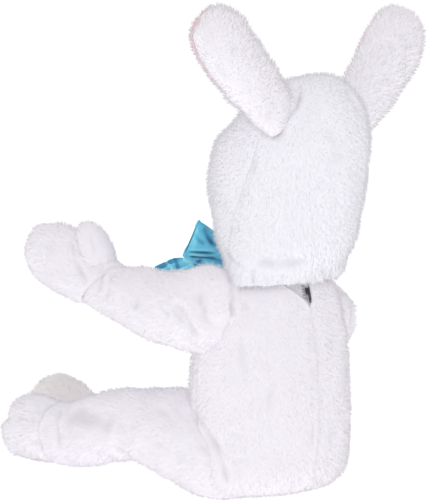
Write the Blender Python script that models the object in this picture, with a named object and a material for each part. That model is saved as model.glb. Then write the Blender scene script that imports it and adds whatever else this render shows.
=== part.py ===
"""A plush bunny costume for a toddler, worn and sitting, with no wearer inside.

It is a zipped body with sleeves, mittens, legs and feet, a separate hood with stuffed
ears, and a satin bow at the throat. Every cloth piece is a thin wall round a hollow.
Lengths are in metres. The origin is at the base of the neck, where the wearer carries
the costume. +Z is up, the wearer faces -Y, and +X is the wearer's left.
"""

import bmesh
import bpy
import numpy as np

# Driving sizes
SEAT = 0.2575  # from the floor that the seat rests on up to the base of the neck
WALL = 0.005  # plush, its backing and pile together
THUMB_WALL = 0.004
SATIN = 0.0015
FELT = 0.0012  # zip tape and the ears' pink fronts
GAP = 0.0003  # between pieces that are sewn together or touch
TAPE_GAP = 0.0009  # the zip tape lies this far behind the plush
HEM_HEIGHT = 0.2485  # the hood's hem above the floor
HOLE_GROWTH = 0.0005  # a hole's outline outside the limb that is set into it
HEM_LIFT = 0.0012  # the hood's hem off the body
AROUND = 20  # points round a limb


def table(names, *rows):
    """Returns the rows as one array for each named column."""
    return dict(zip(names.split(), np.array(rows, float).T))


# Rings of the body, from the neck down to the point where its seams meet under the seat
BODY = table(
    "height half_width front back",
    (0.2590, 0.056, -0.048, 0.026),
    (0.2540, 0.067, -0.057, 0.031),
    (0.2470, 0.077, -0.066, 0.034),
    (0.2330, 0.089, -0.079, 0.037),
    (0.2100, 0.097, -0.093, 0.042),
    (0.1800, 0.102, -0.105, 0.047),
    (0.1480, 0.106, -0.112, 0.0515),
    (0.1120, 0.108, -0.114, 0.0530),
    (0.0760, 0.109, -0.114, 0.0530),
    (0.0450, 0.109, -0.112, 0.0510),
    (0.0220, 0.105, -0.106, 0.0450),
    (0.0080, 0.096, -0.096, 0.0340),
    (0.0030, 0.080, -0.080, 0.0180),
    (0.0030, 0.002, -0.034, -0.0300),
)
SIDE_SEAM = 105.0  # angle round the body from the centre back
ZIP_BOTTOM = 0.027
ZIP_PART_FROM = 0.222  # the panels' edges part from here up to the slider's tab
ZIP_OPEN_FROM = 0.2265  # above this the left back panel is pulled aside as well
ZIP_PART_WIDTH = 0.0045
ZIP_OPEN_WIDTH = 0.022

# Rings of the hood from its hem to the crown. seam is the angle of the side seam.
HOOD = table(
    "height half_width front back seam",
    (0.2650, 0.0820, -0.068, 0.053, 108),
    (0.2800, 0.0840, -0.071, 0.067, 105),
    (0.3000, 0.0860, -0.084, 0.081, 100),
    (0.3250, 0.0870, -0.094, 0.088, 94),
    (0.3550, 0.0885, -0.100, 0.093, 84),
    (0.3850, 0.0895, -0.101, 0.098, 77),
    (0.4070, 0.0880, -0.091, 0.100, 75),
    (0.4270, 0.0840, -0.075, 0.100, 74),
    (0.4470, 0.0745, -0.049, 0.097, 73),
    (0.4670, 0.0590, -0.022, 0.090, 71),
    (0.4820, 0.0410, 0.002, 0.079, 69),
    (0.4910, 0.0220, 0.023, 0.065, 67),
    (0.4940, 0.0020, 0.043, 0.047, 66),
)
FACE = table(
    "height half_width",
    (0.2920, 0.0100),
    (0.2950, 0.0300),
    (0.3070, 0.0460),
    (0.3300, 0.0550),
    (0.3600, 0.0570),
    (0.3900, 0.0520),
    (0.4100, 0.0400),
    (0.4210, 0.0240),
    (0.4240, 0.0080),
)

# Centre line and half sizes of each limb, from inside the body outwards. lean tips a
# ring's top back towards the body. The mitten and the foot start at the seam's row.
ARM_LEFT = table(
    "x y height across upright lean",
    (0.052, -0.008, 0.2050, 0.022, 0.024, 0),
    (0.086, -0.034, 0.2200, 0.035, 0.0600, 0),
    (0.099, -0.062, 0.2155, 0.043, 0.0495, 0),
    (0.109, -0.094, 0.2195, 0.042, 0.0445, 0),
    (0.115, -0.128, 0.2285, 0.037, 0.0415, 0.2),
    (0.118, -0.162, 0.2335, 0.032, 0.0355, 0.6),
    (0.120, -0.190, 0.2390, 0.0275, 0.0300, 0.85),
    (0.120, -0.212, 0.2440, 0.029, 0.033, 0.7),
    (0.120, -0.238, 0.2530, 0.031, 0.040, 0.4),
    (0.119, -0.267, 0.2610, 0.032, 0.0435, 0.1),
    (0.118, -0.296, 0.2675, 0.030, 0.0405, 0),
    (0.116, -0.320, 0.2715, 0.024, 0.032, 0),
    (0.1145, -0.334, 0.2735, 0.013, 0.019, 0),
    (0.114, -0.338, 0.2740, 0.004, 0.006, 0),
)
THUMB_LEFT = table(
    "x y height across upright",
    (0.120, -0.192, 0.2480, 0.015, 0.015),
    (0.120, -0.199, 0.2650, 0.020, 0.021),
    (0.119, -0.210, 0.2800, 0.0205, 0.0215),
    (0.118, -0.220, 0.2930, 0.017, 0.018),
    (0.117, -0.227, 0.3010, 0.010, 0.010),
    (0.1165, -0.2295, 0.3040, 0.004, 0.004),
)
ARM_RIGHT = table(
    "x y height across upright lean",
    (-0.052, -0.008, 0.1980, 0.022, 0.024, 0),
    (-0.084, -0.028, 0.1960, 0.038, 0.0395, 0),
    (-0.110, -0.055, 0.1915, 0.045, 0.0470, 0),
    (-0.119, -0.092, 0.1890, 0.041, 0.0430, 0),
    (-0.124, -0.128, 0.1820, 0.036, 0.038, 0),
    (-0.119, -0.160, 0.1790, 0.032, 0.033, 0.3),
    (-0.112, -0.184, 0.1780, 0.0275, 0.029, 0.6),
    (-0.105, -0.203, 0.1785, 0.029, 0.031, 0.5),
    (-0.096, -0.229, 0.1780, 0.031, 0.035, 0.3),
    (-0.084, -0.258, 0.1760, 0.032, 0.037, 0.1),
    (-0.072, -0.286, 0.1730, 0.030, 0.035, 0),
    (-0.062, -0.309, 0.1700, 0.023, 0.028, 0),
    (-0.057, -0.321, 0.1685, 0.013, 0.016, 0),
    (-0.0555, -0.3245, 0.1680, 0.004, 0.005, 0),
)
WRIST_ROW = 6
THUMB_RIGHT = table(
    "x y height across upright",
    (-0.108, -0.192, 0.1860, 0.014, 0.014),
    (-0.104, -0.200, 0.2020, 0.019, 0.020),
    (-0.098, -0.210, 0.2160, 0.019, 0.020),
    (-0.092, -0.219, 0.2280, 0.016, 0.017),
    (-0.089, -0.225, 0.2350, 0.009, 0.009),
    (-0.088, -0.227, 0.2375, 0.003, 0.003),
)
LEG_LEFT = table(
    "x y height across upright lean",
    (0.052, -0.030, 0.046, 0.042, 0.0360, -0.7),
    (0.066, -0.046, 0.049, 0.054, 0.0580, -0.8),
    (0.076, -0.092, 0.0585, 0.053, 0.0575, -0.6),
    (0.084, -0.142, 0.068, 0.047, 0.048, -0.2),
    (0.089, -0.180, 0.069, 0.042, 0.045, 0),
    (0.090, -0.218, 0.061, 0.041, 0.0445, 0),
    (0.090, -0.256, 0.050, 0.038, 0.0435, 0),
    (0.089, -0.292, 0.043, 0.035, 0.0410, 0),
    (0.088, -0.324, 0.0412, 0.032, 0.0385, 0),
    (0.088, -0.342, 0.0425, 0.033, 0.0410, 0.05),
    (0.088, -0.361, 0.0435, 0.034, 0.0425, 0.15),
    (0.087, -0.381, 0.0440, 0.033, 0.0420, 0.3),
    (0.086, -0.401, 0.0420, 0.028, 0.0370, 0.4),
    (0.085, -0.417, 0.0400, 0.018, 0.0270, 0.4),
    (0.0845, -0.425, 0.0380, 0.006, 0.0100, 0.4),
)
LEG_RIGHT = table(
    "x y height across upright lean",
    (-0.052, -0.030, 0.044, 0.042, 0.0360, -0.7),
    (-0.064, -0.046, 0.048, 0.054, 0.0560, -0.8),
    (-0.068, -0.098, 0.054, 0.052, 0.0550, -0.6),
    (-0.065, -0.150, 0.054, 0.046, 0.048, -0.2),
    (-0.058, -0.196, 0.049, 0.042, 0.044, 0),
    (-0.045, -0.242, 0.043, 0.040, 0.041, 0),
    (-0.029, -0.290, 0.038, 0.036, 0.036, 0),
    (-0.016, -0.335, 0.036, 0.033, 0.034, 0),
    (-0.006, -0.372, 0.0365, 0.030, 0.0330, 0),
    (-0.002, -0.390, 0.0430, 0.032, 0.0400, 0.1),
    (0.002, -0.411, 0.0490, 0.033, 0.0455, 0.2),
    (0.006, -0.434, 0.0520, 0.032, 0.0455, 0.3),
    (0.009, -0.454, 0.0510, 0.027, 0.0390, 0.4),
    (0.011, -0.468, 0.0490, 0.017, 0.0270, 0.4),
    (0.012, -0.475, 0.0470, 0.006, 0.0090, 0.4),
)
ANKLE_ROW = 8
THUMB_REACH = 0.03  # how far behind a mitten's edge its thumb's root may lie
CLEFT_ROW = 10.5  # of a leg's table, where the cleft between its toes begins
TOE_CLEFT_DEPTH = 0.013
TOE_CLEFT_WIDTH = 0.007

# The left ear from inside the hood to its tip. The right ear mirrors it.
EAR = table(
    "x y height across thick",
    (0.055, 0.046, 0.436, 0.027, 0.016),
    (0.071, 0.045, 0.454, 0.033, 0.021),
    (0.093, 0.041, 0.478, 0.038, 0.025),
    (0.115, 0.037, 0.503, 0.041, 0.027),
    (0.134, 0.033, 0.527, 0.0425, 0.027),
    (0.149, 0.030, 0.545, 0.038, 0.023),
    (0.158, 0.028, 0.557, 0.027, 0.016),
    (0.1620, 0.027, 0.562, 0.009, 0.006),
)
EAR_TURN = 14.0  # degrees that the ears' fronts turn outwards
EAR_RIGHT_SPLAY = 0.11  # the right ear leans this much further out for its height
EAR_FRONT_FROM = 2.4  # row of the table where the pink front starts

# Satin bow at the throat. The rows give its left half, and the right half mirrors it.
KNOT = (0.0, -0.0770, 0.267)
BOW_LOOP = table(
    "x y height across upright",
    (0.0130, -0.0785, 0.271, 0.0050, 0.009),
    (0.0260, -0.0850, 0.276, 0.0090, 0.016),
    (0.0425, -0.0895, 0.283, 0.0110, 0.0215),
    (0.0570, -0.0915, 0.289, 0.0090, 0.0240),
    (0.0660, -0.0920, 0.293, 0.0045, 0.0245),
    (0.0685, -0.0920, 0.294, 0.0015, 0.0235),
)
BOW_TAIL = table(
    "x y height across",
    (0.0125, -0.0805, 0.2610, 0.006),
    (0.0240, -0.1020, 0.2600, 0.009),
    (0.0400, -0.1230, 0.2590, 0.013),
    (0.0560, -0.1420, 0.2570, 0.016),
    (0.0710, -0.1550, 0.2540, 0.018),
)
TAIL_LEAN = (-0.45, -0.30, 0.84)  # direction across the tail, from its lower edge
TAIL_WAVE = 0.002

# Zip slider and pull tab, on the centre back just under the hood's hem
SLIDER = (0.0070, 0.0028, 0.0090)
SLIDER_HEIGHT = 0.2415
TAB = (0.0040, 0.0012, 0.0125)
TAB_PIVOT_DROP = 0.0010  # from the middle of the slider


def smooth(values, places):
    """Reads a table's column at fractional rows, on a curve through all of its values."""
    ends = np.concatenate([[2 * values[0] - values[1]], values, [2 * values[-1] - values[-2]]])
    row = np.clip(places.astype(int), 0, len(values) - 2)
    part = places - row
    before, first, last, after = (ends[row + step] for step in range(4))
    straight = 2 * first + (last - before) * part
    bend = (2 * before - 5 * first + 4 * last - after) * part**2
    twist = (3 * first - before - 3 * last + after) * part**3
    return (straight + bend + twist) / 2


def rings(shape, rows, first, last, columns, grow=0.0):
    """Rings of an upright shape. The angles first and last are in degrees from the back
    towards +X, one for each row or one for all. grow moves the rings out."""
    height = smooth(shape["height"], rows)[:, None]
    wide = smooth(shape["half_width"], rows)[:, None] + grow
    front = smooth(shape["front"], rows)[:, None] - grow
    back = smooth(shape["back"], rows)[:, None] + grow
    start = np.broadcast_to(first, rows.shape)[:, None]
    stop = np.broadcast_to(last, rows.shape)[:, None]
    angle = np.radians(start + (stop - start) * np.linspace(0, 1, columns))
    x = wide * np.sin(angle)
    y = (front + back) / 2 + (back - front) / 2 * np.cos(angle)
    z = np.broadcast_to(height - SEAT, x.shape)
    return np.stack([x, y, z], axis=2)


def centres(shape, rows):
    """Points on a table's centre line, measured from the origin."""
    line = np.stack([smooth(shape[name], rows) for name in ("x", "y", "height")], axis=1)
    return line - (0.0, 0.0, SEAT)


def limb(shape, rows, columns=AROUND, grow=0.0):
    """Rings round a limb's centre line, flattened where they would pass the floor. lean
    tips a ring's top back towards the body."""
    centre = centres(shape, rows)
    along = np.gradient(centre, axis=0)
    along /= np.linalg.norm(along, axis=1, keepdims=True)
    side = np.cross(along, (0.0, 0.0, 1.0))
    side /= np.linalg.norm(side, axis=1, keepdims=True)
    up = np.cross(side, along)
    angle = np.linspace(0, 2 * np.pi, columns, endpoint=False)[None, :, None]
    across = (smooth(shape["across"], rows) + grow)[:, None, None]
    upright = (smooth(shape["upright"], rows) + grow)[:, None, None]
    rise = upright * np.sin(angle)
    points = centre[:, None] + side[:, None] * across * np.cos(angle) + up[:, None] * rise
    if "lean" in shape:
        points = points - along[:, None] * rise * smooth(shape["lean"], rows)[:, None, None]
    points[..., 2] = np.maximum(points[..., 2], 0.0006 - SEAT - grow)
    return points


def normals(points, wrap):
    """Unit normals of a grid of points, facing away from the middle of each row."""
    if wrap:
        along_row = np.roll(points, -1, axis=1) - np.roll(points, 1, axis=1)
    else:
        along_row = np.gradient(points, axis=1)
    normal = np.cross(np.gradient(points, axis=0), along_row)
    normal /= np.linalg.norm(normal, axis=2, keepdims=True) + 1e-12
    outward = points - points.mean(axis=(0, 1))
    return normal * np.sign((normal * outward).sum())


def parted(points):
    """Draws the two side edges of a panel in by half the seam gap."""
    points = points.copy()
    for edge, inner in ((0, 1), (-1, -2)):
        step = points[:, inner] - points[:, edge]
        points[:, edge] += step / np.linalg.norm(step, axis=1, keepdims=True) * GAP / 2
    return points


def material(name, colour, roughness, metallic=0.0):
    made = bpy.data.materials.new(name)
    made.use_nodes = True
    shader = made.node_tree.nodes["Principled BSDF"]
    shader.inputs["Base Color"].default_value = (*colour, 1.0)
    shader.inputs["Roughness"].default_value = roughness
    shader.inputs["Metallic"].default_value = metallic
    return made


def solid(name, points, faces, finish):
    """Makes one object with its faces turned out."""
    mesh = bpy.data.meshes.new(name)
    mesh.from_pydata([tuple(point) for point in points], [], faces)
    shape = bmesh.new()
    shape.from_mesh(mesh)
    bmesh.ops.recalc_face_normals(shape, faces=shape.faces)
    shape.to_mesh(mesh)
    shape.free()
    mesh.shade_smooth()
    mesh.set_sharp_from_angle(angle=np.radians(45))
    piece = bpy.data.objects.new(name, mesh)
    piece.data.materials.append(finish)
    bpy.context.scene.collection.objects.link(piece)
    return piece


def grid_faces(rows, columns, start, wrap):
    """Triangles between neighbouring points of a grid whose first point has this number."""
    steps = range(columns if wrap else columns - 1)
    faces = []
    for row in range(rows - 1):
        for column in steps:
            after = (column + 1) % columns
            here = start + row * columns
            there = here + columns
            faces.append((here + column, here + after, there + after))
            faces.append((here + column, there + after, there + column))
    return faces


def wall(name, outer, inner, finish, wrap=False, tip=False):
    """A closed sheet between two like grids of points. wrap joins the last column to the
    first, and tip closes the last row, as at the end of a mitten."""
    rows, columns = outer.shape[:2]
    count = rows * columns
    faces = grid_faces(rows, columns, 0, wrap) + grid_faces(rows, columns, count, wrap)
    edges = [list(range(columns))]
    last = list(range(count - columns, count))
    if tip:
        faces += [tuple(last), tuple(count + point for point in last)]
    else:
        edges.append(last)
    if not wrap:
        edges.append(list(range(0, count, columns)))
        edges.append(list(range(columns - 1, count, columns)))
    for edge in edges:
        ends = edge[1:] + edge[:1] if wrap else edge[1:]
        faces += [(a, b, count + b, count + a) for a, b in zip(edge, ends)]
    points = np.concatenate([outer.reshape(-1, 3), inner.reshape(-1, 3)])
    return solid(name, points, faces, finish)


def sleeve_of(name, points, thickness, finish, tip=False):
    """A tube of cloth under a grid of rings."""
    inner = points - normals(points, True) * thickness
    return wall(name, points, inner, finish, wrap=True, tip=tip)


def panel(name, shape, rows, first, last, columns, finish, under=0.0, thickness=WALL):
    """A piece of an upright shape between two angles, this far under its surface."""
    step = (last - first) / (columns - 1)
    wider = rings(shape, rows, first - step, last + step, columns + 2)
    normal = normals(wider, False)
    outer = (wider - normal * under)[:, 1:-1]
    inner = (wider - normal * (under + thickness))[:, 1:-1]
    return wall(name, parted(outer), parted(inner), finish)


def filled(name, outer, finish):
    """The solid inside a grid of rings, closed at both ends."""
    rows, columns = outer.shape[:2]
    faces = grid_faces(rows, columns, 0, True)
    faces += [tuple(range(columns)), tuple(range((rows - 1) * columns, rows * columns))]
    return solid(name, outer.reshape(-1, 3), faces, finish)


def cut(piece, cutter):
    modifier = piece.modifiers.new(cutter.name, "BOOLEAN")
    modifier.operation = "DIFFERENCE"
    modifier.object = cutter


def as_cutter(piece):
    piece.hide_render = True
    piece.display_type = "WIRE"
    return piece


def steps(shape, finer=1.0):
    """Places of the rings that a table is drawn with."""
    last = len(shape["height"]) - 1
    return np.linspace(0, last, int(round(last * finer)) + 1)


def mirrored(points):
    return points * (-1, 1, 1)


def row_at(shape, height):
    """The place in an upright table where it reaches this height above the floor."""
    rows = np.linspace(0, len(shape["height"]) - 1, 2001)
    return rows[np.abs(smooth(shape["height"], rows) - height).argmin()]


def zip_parting(height):
    """How far the left and the right back panel stay from the zip at these heights."""
    low = (height - ZIP_PART_FROM) / (ZIP_OPEN_FROM - ZIP_PART_FROM)
    high = (height - ZIP_OPEN_FROM) / (BODY["height"][0] - ZIP_OPEN_FROM)
    right = ZIP_PART_WIDTH * np.clip(low, 0, 1)
    return right + ZIP_OPEN_WIDTH * np.clip(high, 0, 1), right


def body_rows():
    """Places of the body's rings, with one at each bend of the parted zip."""
    bends = [row_at(BODY, height) for height in (ZIP_PART_FROM, ZIP_OPEN_FROM)]
    return np.sort(np.concatenate([steps(BODY, 1.2), bends]))


def body_panels(plush):
    """Front, left back and right back, which meet at the sides and at the zip."""
    rows = body_rows()
    wide = smooth(BODY["half_width"], rows)
    parting = zip_parting(smooth(BODY["height"], rows))
    left, right = (np.degrees(np.arcsin(np.minimum(part / wide, 0.9))) for part in parting)
    side = np.full(rows.shape, SIDE_SEAM)
    return [
        panel("body_front", BODY, rows, side, 360 - side, 19, plush),
        panel("body_back_left", BODY, rows, left, side, 10, plush),
        panel("body_back_right", BODY, rows, -side, -right, 10, plush),
    ]


def body_inside(plush):
    """The hollow of the body, carried on below the floor, which trims the limbs."""
    rows = body_rows()
    rows = rows[(rows > 0.5) & (rows < len(BODY["height"]) - 2.5)]
    points = rings(BODY, rows, 0, 360, 37)[:, :-1]
    points = points - normals(points, True) * WALL
    below = points[-1:].copy()
    below[..., 2] = -SEAT - 0.02
    return as_cutter(filled("body_hollow", np.concatenate([points, below]), plush))


def halves(points, row, thickness):
    """Splits a limb at a seam. Returns the outer and inner rings of both halves."""
    inner = points - normals(points, True) * thickness
    pairs = []
    for part, edge, beside in ((slice(None, row + 1), -1, -2), (slice(row, None), 0, 1)):
        pair = []
        for grid in (outer_or_inner[part].copy() for outer_or_inner in (points, inner)):
            step = grid[beside] - grid[edge]
            grid[edge] += step / np.linalg.norm(step, axis=1, keepdims=True) * GAP / 2
            pair.append(grid)
        pairs.append(pair)
    return pairs


def limbs(panels, hood_form, plush):
    """Arms and legs, set into holes of their own outline in the body's panels. Each is
    cut in two at a seam, the sleeve from the mitten and the leg from the foot. The
    shoulders rise beside the hood."""
    hollow = body_inside(plush)
    for near, far, side, shape, seam in (
        ("sleeve", "mitten", "left", ARM_LEFT, WRIST_ROW),
        ("sleeve", "mitten", "right", ARM_RIGHT, WRIST_ROW),
        ("leg", "foot", "left", LEG_LEFT, ANKLE_ROW),
        ("leg", "foot", "right", LEG_RIGHT, ANKLE_ROW),
    ):
        rows = steps(shape)
        points = limb(shape, rows) if near == "sleeve" else with_toes(shape, rows)
        (upper, upper_in), (lower, lower_in) = halves(points, seam, WALL)
        tube = wall(f"{near}_{side}", upper, upper_in, plush, wrap=True)
        cut(tube, hollow)
        end = wall(f"{far}_{side}", lower, lower_in, plush, wrap=True, tip=True)
        if near == "sleeve":
            cut(tube, hood_form)
            thumb(side, end, lower_in, plush)
        outline = limb(shape, rows, grow=HOLE_GROWTH)
        hole = as_cutter(filled(tube.name + "_hole", outline, plush))
        for piece in panels:
            cut(piece, hole)


def thumb(side, mitten, mitten_inside, plush):
    """A thumb set into its mitten."""
    shape = THUMB_LEFT if side == "left" else THUMB_RIGHT
    points = limb(shape, steps(shape), 12)
    piece = sleeve_of("mitten_thumb_" + side, points, THUMB_WALL, plush, tip=True)
    outline = limb(shape, steps(shape), 12, HOLE_GROWTH)
    cut(mitten, as_cutter(filled("thumb_hole_" + side, outline, plush)))
    behind = mitten_inside[:1] + (0.0, THUMB_REACH, 0.0)
    hollow = np.concatenate([behind, mitten_inside])
    cut(piece, as_cutter(filled("mitten_hollow_" + side, hollow, plush)))


def with_toes(shape, rows):
    """A leg whose paw is drawn in at one stitched cleft, which leaves two toes."""
    points = limb(shape, rows)
    middle = points[..., 2].mean(axis=1, keepdims=True)
    last = len(shape["height"]) - 1
    reach = np.clip((rows - CLEFT_ROW) / (last - CLEFT_ROW), 0, 1)[:, None]
    drawn = np.exp(-(((points[..., 2] - middle) / TOE_CLEFT_WIDTH) ** 2)) * reach
    points[..., 1] += drawn * TOE_CLEFT_DEPTH
    return points


def hood_shape():
    """The hood's rings with its hem, which lies on the body: the body's ring moved out."""
    row = np.array([row_at(BODY, HEM_HEIGHT)])
    hem = {name: smooth(BODY[name], row)[0] for name in BODY}
    hem["half_width"] += HEM_LIFT + WALL
    hem["front"] -= HEM_LIFT + WALL
    hem["back"] += HEM_LIFT + WALL
    hem["seam"] = HOOD["seam"][0]
    return {name: np.insert(HOOD[name], 0, hem[name]) for name in HOOD}


def hood(plush):
    """Back panel and two side panels, with one opening for the face."""
    shape = hood_shape()
    rows = steps(shape)
    seam = smooth(shape["seam"], rows)
    panel("hood_back", shape, rows, -seam, seam, 15, plush)
    sides = [
        panel("hood_side_left", shape, rows, seam, seam * 0 + 180, 9, plush),
        panel("hood_side_right", shape, rows, seam * 0 - 180, -seam, 9, plush),
    ]
    places = steps(FACE, 1.5)
    height = smooth(FACE["height"], places) - SEAT
    wide = smooth(FACE["half_width"], places)
    right = np.stack([wide, height], axis=1)
    outline = np.concatenate([right, (right * (-1, 1))[::-1]])
    face = np.stack([np.insert(outline, 1, depth, axis=1) for depth in (-0.20, 0.0)])
    opening = as_cutter(filled("face_opening", face, plush))
    for piece in sides:
        cut(piece, opening)
    outer = rings(shape, rows, 0, 360, 37, grow=HEM_LIFT)[:, :-1]
    outer[-1, :, 2] += HEM_LIFT
    outer[0, :, 2] -= HEM_LIFT
    return as_cutter(filled("hood_form", outer, plush))


def ear_points(rows, grow=0.0):
    """Rings of the left ear, whose broad front turns a little outwards."""
    centre = centres(EAR, rows)
    along = np.gradient(centre, axis=0)
    along /= np.linalg.norm(along, axis=1, keepdims=True)
    turn = np.radians(EAR_TURN)
    side = np.cross(along, (-np.sin(turn), np.cos(turn), 0.0))
    side /= np.linalg.norm(side, axis=1, keepdims=True)
    back = np.cross(side, along)
    angle = np.linspace(0, 2 * np.pi, AROUND, endpoint=False)[None, :, None]
    across = (smooth(EAR["across"], rows) + grow)[:, None, None]
    thick = (smooth(EAR["thick"], rows) + grow)[:, None, None]
    ring = side[:, None] * across * np.cos(angle) + back[:, None] * thick * np.sin(angle)
    return centre[:, None] + ring


def ears(hood_form, plush, pink):
    """Two stuffed ears that stand on the hood, each with a pink front."""
    rows = steps(EAR, 1.3)
    stuffed = ear_points(rows)
    covered = (rows > EAR_FRONT_FROM) & (rows < rows[-1])
    columns = slice(AROUND // 2 + 1, AROUND)
    front = ear_points(rows, GAP + FELT)[covered, columns]
    back = ear_points(rows, GAP)[covered, columns]
    for side, place in (("left", lambda points: points), ("right", right_ear)):
        cut(filled("ear_" + side, place(stuffed), plush), hood_form)
        wall("ear_front_" + side, place(front), place(back), pink)


def right_ear(points):
    """Mirrors the left ear and leans it further out."""
    points = mirrored(points)
    rise = np.maximum(points[..., 2] - EAR["height"][1] + SEAT, 0)
    points[..., 0] -= rise * EAR_RIGHT_SPLAY
    return points


def bow(satin):
    """A knot, two puffed loops and two flat tails."""
    knot = np.array(KNOT) - (0.0, 0.0, SEAT)
    angle = np.linspace(0, 2 * np.pi, 12, endpoint=False)
    wraps = []
    for across, size in ((-0.010, 0.80), (-0.005, 1.0), (0.005, 1.0), (0.010, 0.80)):
        deep = 0.008 * size * np.cos(angle)
        high = 0.012 * size * np.sin(angle)
        wraps.append(knot + np.stack([np.full(12, across), deep, high], axis=1))
    filled("bow_knot", np.stack(wraps), satin)
    loop = limb(BOW_LOOP, steps(BOW_LOOP), 12)
    rows = steps(BOW_TAIL)
    half = smooth(BOW_TAIL["across"], rows)[:, None, None]
    spread = np.linspace(-1, 1, 7)[None, :, None]
    tail = centres(BOW_TAIL, rows)[:, None] + half * spread * np.array(TAIL_LEAN)
    tail[..., 1] += TAIL_WAVE * np.cos(2 * np.pi * spread[..., 0])
    for side, place in (("left", lambda points: points), ("right", mirrored)):
        sleeve_of("bow_loop_" + side, place(loop), SATIN, satin, tip=True)
        flat = place(tail)
        wall("bow_tail_" + side, flat, flat - normals(flat, False) * SATIN, satin)


def zip_pieces(tape, metal):
    """Tape behind the panels' edges, and the slider with its hinged pull tab."""
    rows = body_rows()
    height = smooth(BODY["height"], rows)
    rows = rows[(height < HEM_HEIGHT + 0.006) & (height > ZIP_BOTTOM - 0.006)]
    zero = rows * 0
    panel("zip_tape_left", BODY, rows, zero, zero + 20, 3, tape, WALL + TAPE_GAP, FELT)
    panel("zip_tape_right", BODY, rows, zero - 10, zero, 2, tape, WALL + TAPE_GAP, FELT)
    near = row_at(BODY, SLIDER_HEIGHT) + np.array((-0.2, 0.0, 0.2))
    surface = rings(BODY, near, -1, 1, 3)
    out = normals(surface, False)[1, 1]
    down = np.cross((1.0, 0.0, 0.0), out)
    down *= -np.sign(down[2])
    tilt = np.arctan2(down[1], -down[2])
    middle = surface[1, 1] + out * (SLIDER[1] / 2 + GAP - WALL - TAPE_GAP)
    block("zip_slider", middle, SLIDER, metal, tilt)
    tab = middle + out * (SLIDER[1] / 2 + GAP + TAB[1] / 2) + down * (TAB_PIVOT_DROP + TAB[2] / 2)
    block("zip_pull_tab", tab, TAB, metal, tilt)


def block(name, middle, size, finish, tilt):
    corners = np.array([(x, y, z) for x in (-1, 1) for y in (-1, 1) for z in (-1, 1)])
    faces = [(0, 1, 3, 2), (4, 6, 7, 5), (0, 4, 5, 1), (2, 3, 7, 6), (0, 2, 6, 4), (1, 5, 7, 3)]
    piece = solid(name, corners * np.array(size) / 2, faces, finish)
    piece.location = middle
    piece.rotation_euler.x = tilt
    bevel = piece.modifiers.new("edges", "BEVEL")
    bevel.width = min(size) * 0.3
    bevel.segments = 2
    return piece


for old in list(bpy.data.objects):
    bpy.data.objects.remove(old)

white_plush = material("white_plush", (0.84, 0.82, 0.87), 0.95)
pink_plush = material("pink_plush", (0.85, 0.62, 0.64), 0.9)
blue_satin = material("blue_satin", (0.08, 0.45, 0.72), 0.35)
grey_tape = material("grey_tape", (0.68, 0.68, 0.71), 0.9)
dark_metal = material("dark_metal", (0.08, 0.08, 0.09), 0.35, metallic=1.0)

hood_form = hood(white_plush)
limbs(body_panels(white_plush), hood_form, white_plush)
ears(hood_form, white_plush, pink_plush)
bow(blue_satin)
zip_pieces(grey_tape, dark_metal)
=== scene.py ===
# A toddler's white plush bunny costume, zipped at the back, with a hood, stuffed ears and
# a satin bow. It is shown worn and sitting, from behind and from its left, with nobody in it.
# Lengths are in metres. +Z is up, the front is -Y, and +X is the wearer's left.
import bmesh
import bpy
import numpy as np
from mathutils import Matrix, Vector


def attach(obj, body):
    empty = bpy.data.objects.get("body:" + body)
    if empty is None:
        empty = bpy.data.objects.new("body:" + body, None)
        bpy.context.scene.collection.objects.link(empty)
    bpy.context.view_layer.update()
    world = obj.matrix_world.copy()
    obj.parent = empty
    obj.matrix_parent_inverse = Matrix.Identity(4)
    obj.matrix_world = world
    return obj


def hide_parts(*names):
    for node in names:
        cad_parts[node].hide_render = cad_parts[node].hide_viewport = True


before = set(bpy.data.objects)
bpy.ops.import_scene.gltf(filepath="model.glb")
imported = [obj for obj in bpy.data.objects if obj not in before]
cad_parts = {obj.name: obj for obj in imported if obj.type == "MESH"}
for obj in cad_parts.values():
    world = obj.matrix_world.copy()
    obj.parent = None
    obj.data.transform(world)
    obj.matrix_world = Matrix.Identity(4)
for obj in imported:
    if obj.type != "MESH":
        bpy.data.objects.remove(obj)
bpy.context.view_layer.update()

# Studio. The camera stands behind the costume on its left, a little over its own height,
# with a long lens. The floor is pale and plain, and the light is soft from all round.
SEAT = 0.2575  # height of the neck's base over the floor
CAMERA_TURN = np.radians(43.0)  # from straight behind towards the wearer's left
CAMERA_RISE = np.radians(5.5)
CAMERA_DISTANCE = 2.8
CAMERA_TARGET = np.array([0.0439, -0.0783, 0.2838 - SEAT])
PIXEL = 0.00118  # metres across one pixel of the photograph at the target
PHOTO_SIZE = (431, 500)
SENSOR = 36.0  # millimetres along the picture's long side

to_camera = np.array([
    np.sin(CAMERA_TURN) * np.cos(CAMERA_RISE),
    np.cos(CAMERA_TURN) * np.cos(CAMERA_RISE),
    np.sin(CAMERA_RISE),
])
camera_right = np.array([-np.cos(CAMERA_TURN), np.sin(CAMERA_TURN), 0.0])
camera_up = np.cross(to_camera, camera_right)
camera_place = CAMERA_TARGET + to_camera * CAMERA_DISTANCE

camera = bpy.data.objects.new("camera", bpy.data.cameras.new("camera"))
bpy.context.scene.collection.objects.link(camera)
bpy.context.scene.camera = camera
camera.data.sensor_width = SENSOR
camera.data.lens = CAMERA_DISTANCE / PIXEL / PHOTO_SIZE[1] * SENSOR
camera.data.clip_end = 30.0
camera.location = camera_place
camera.rotation_euler = Vector(to_camera).to_track_quat("Z", "Y").to_euler()


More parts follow.
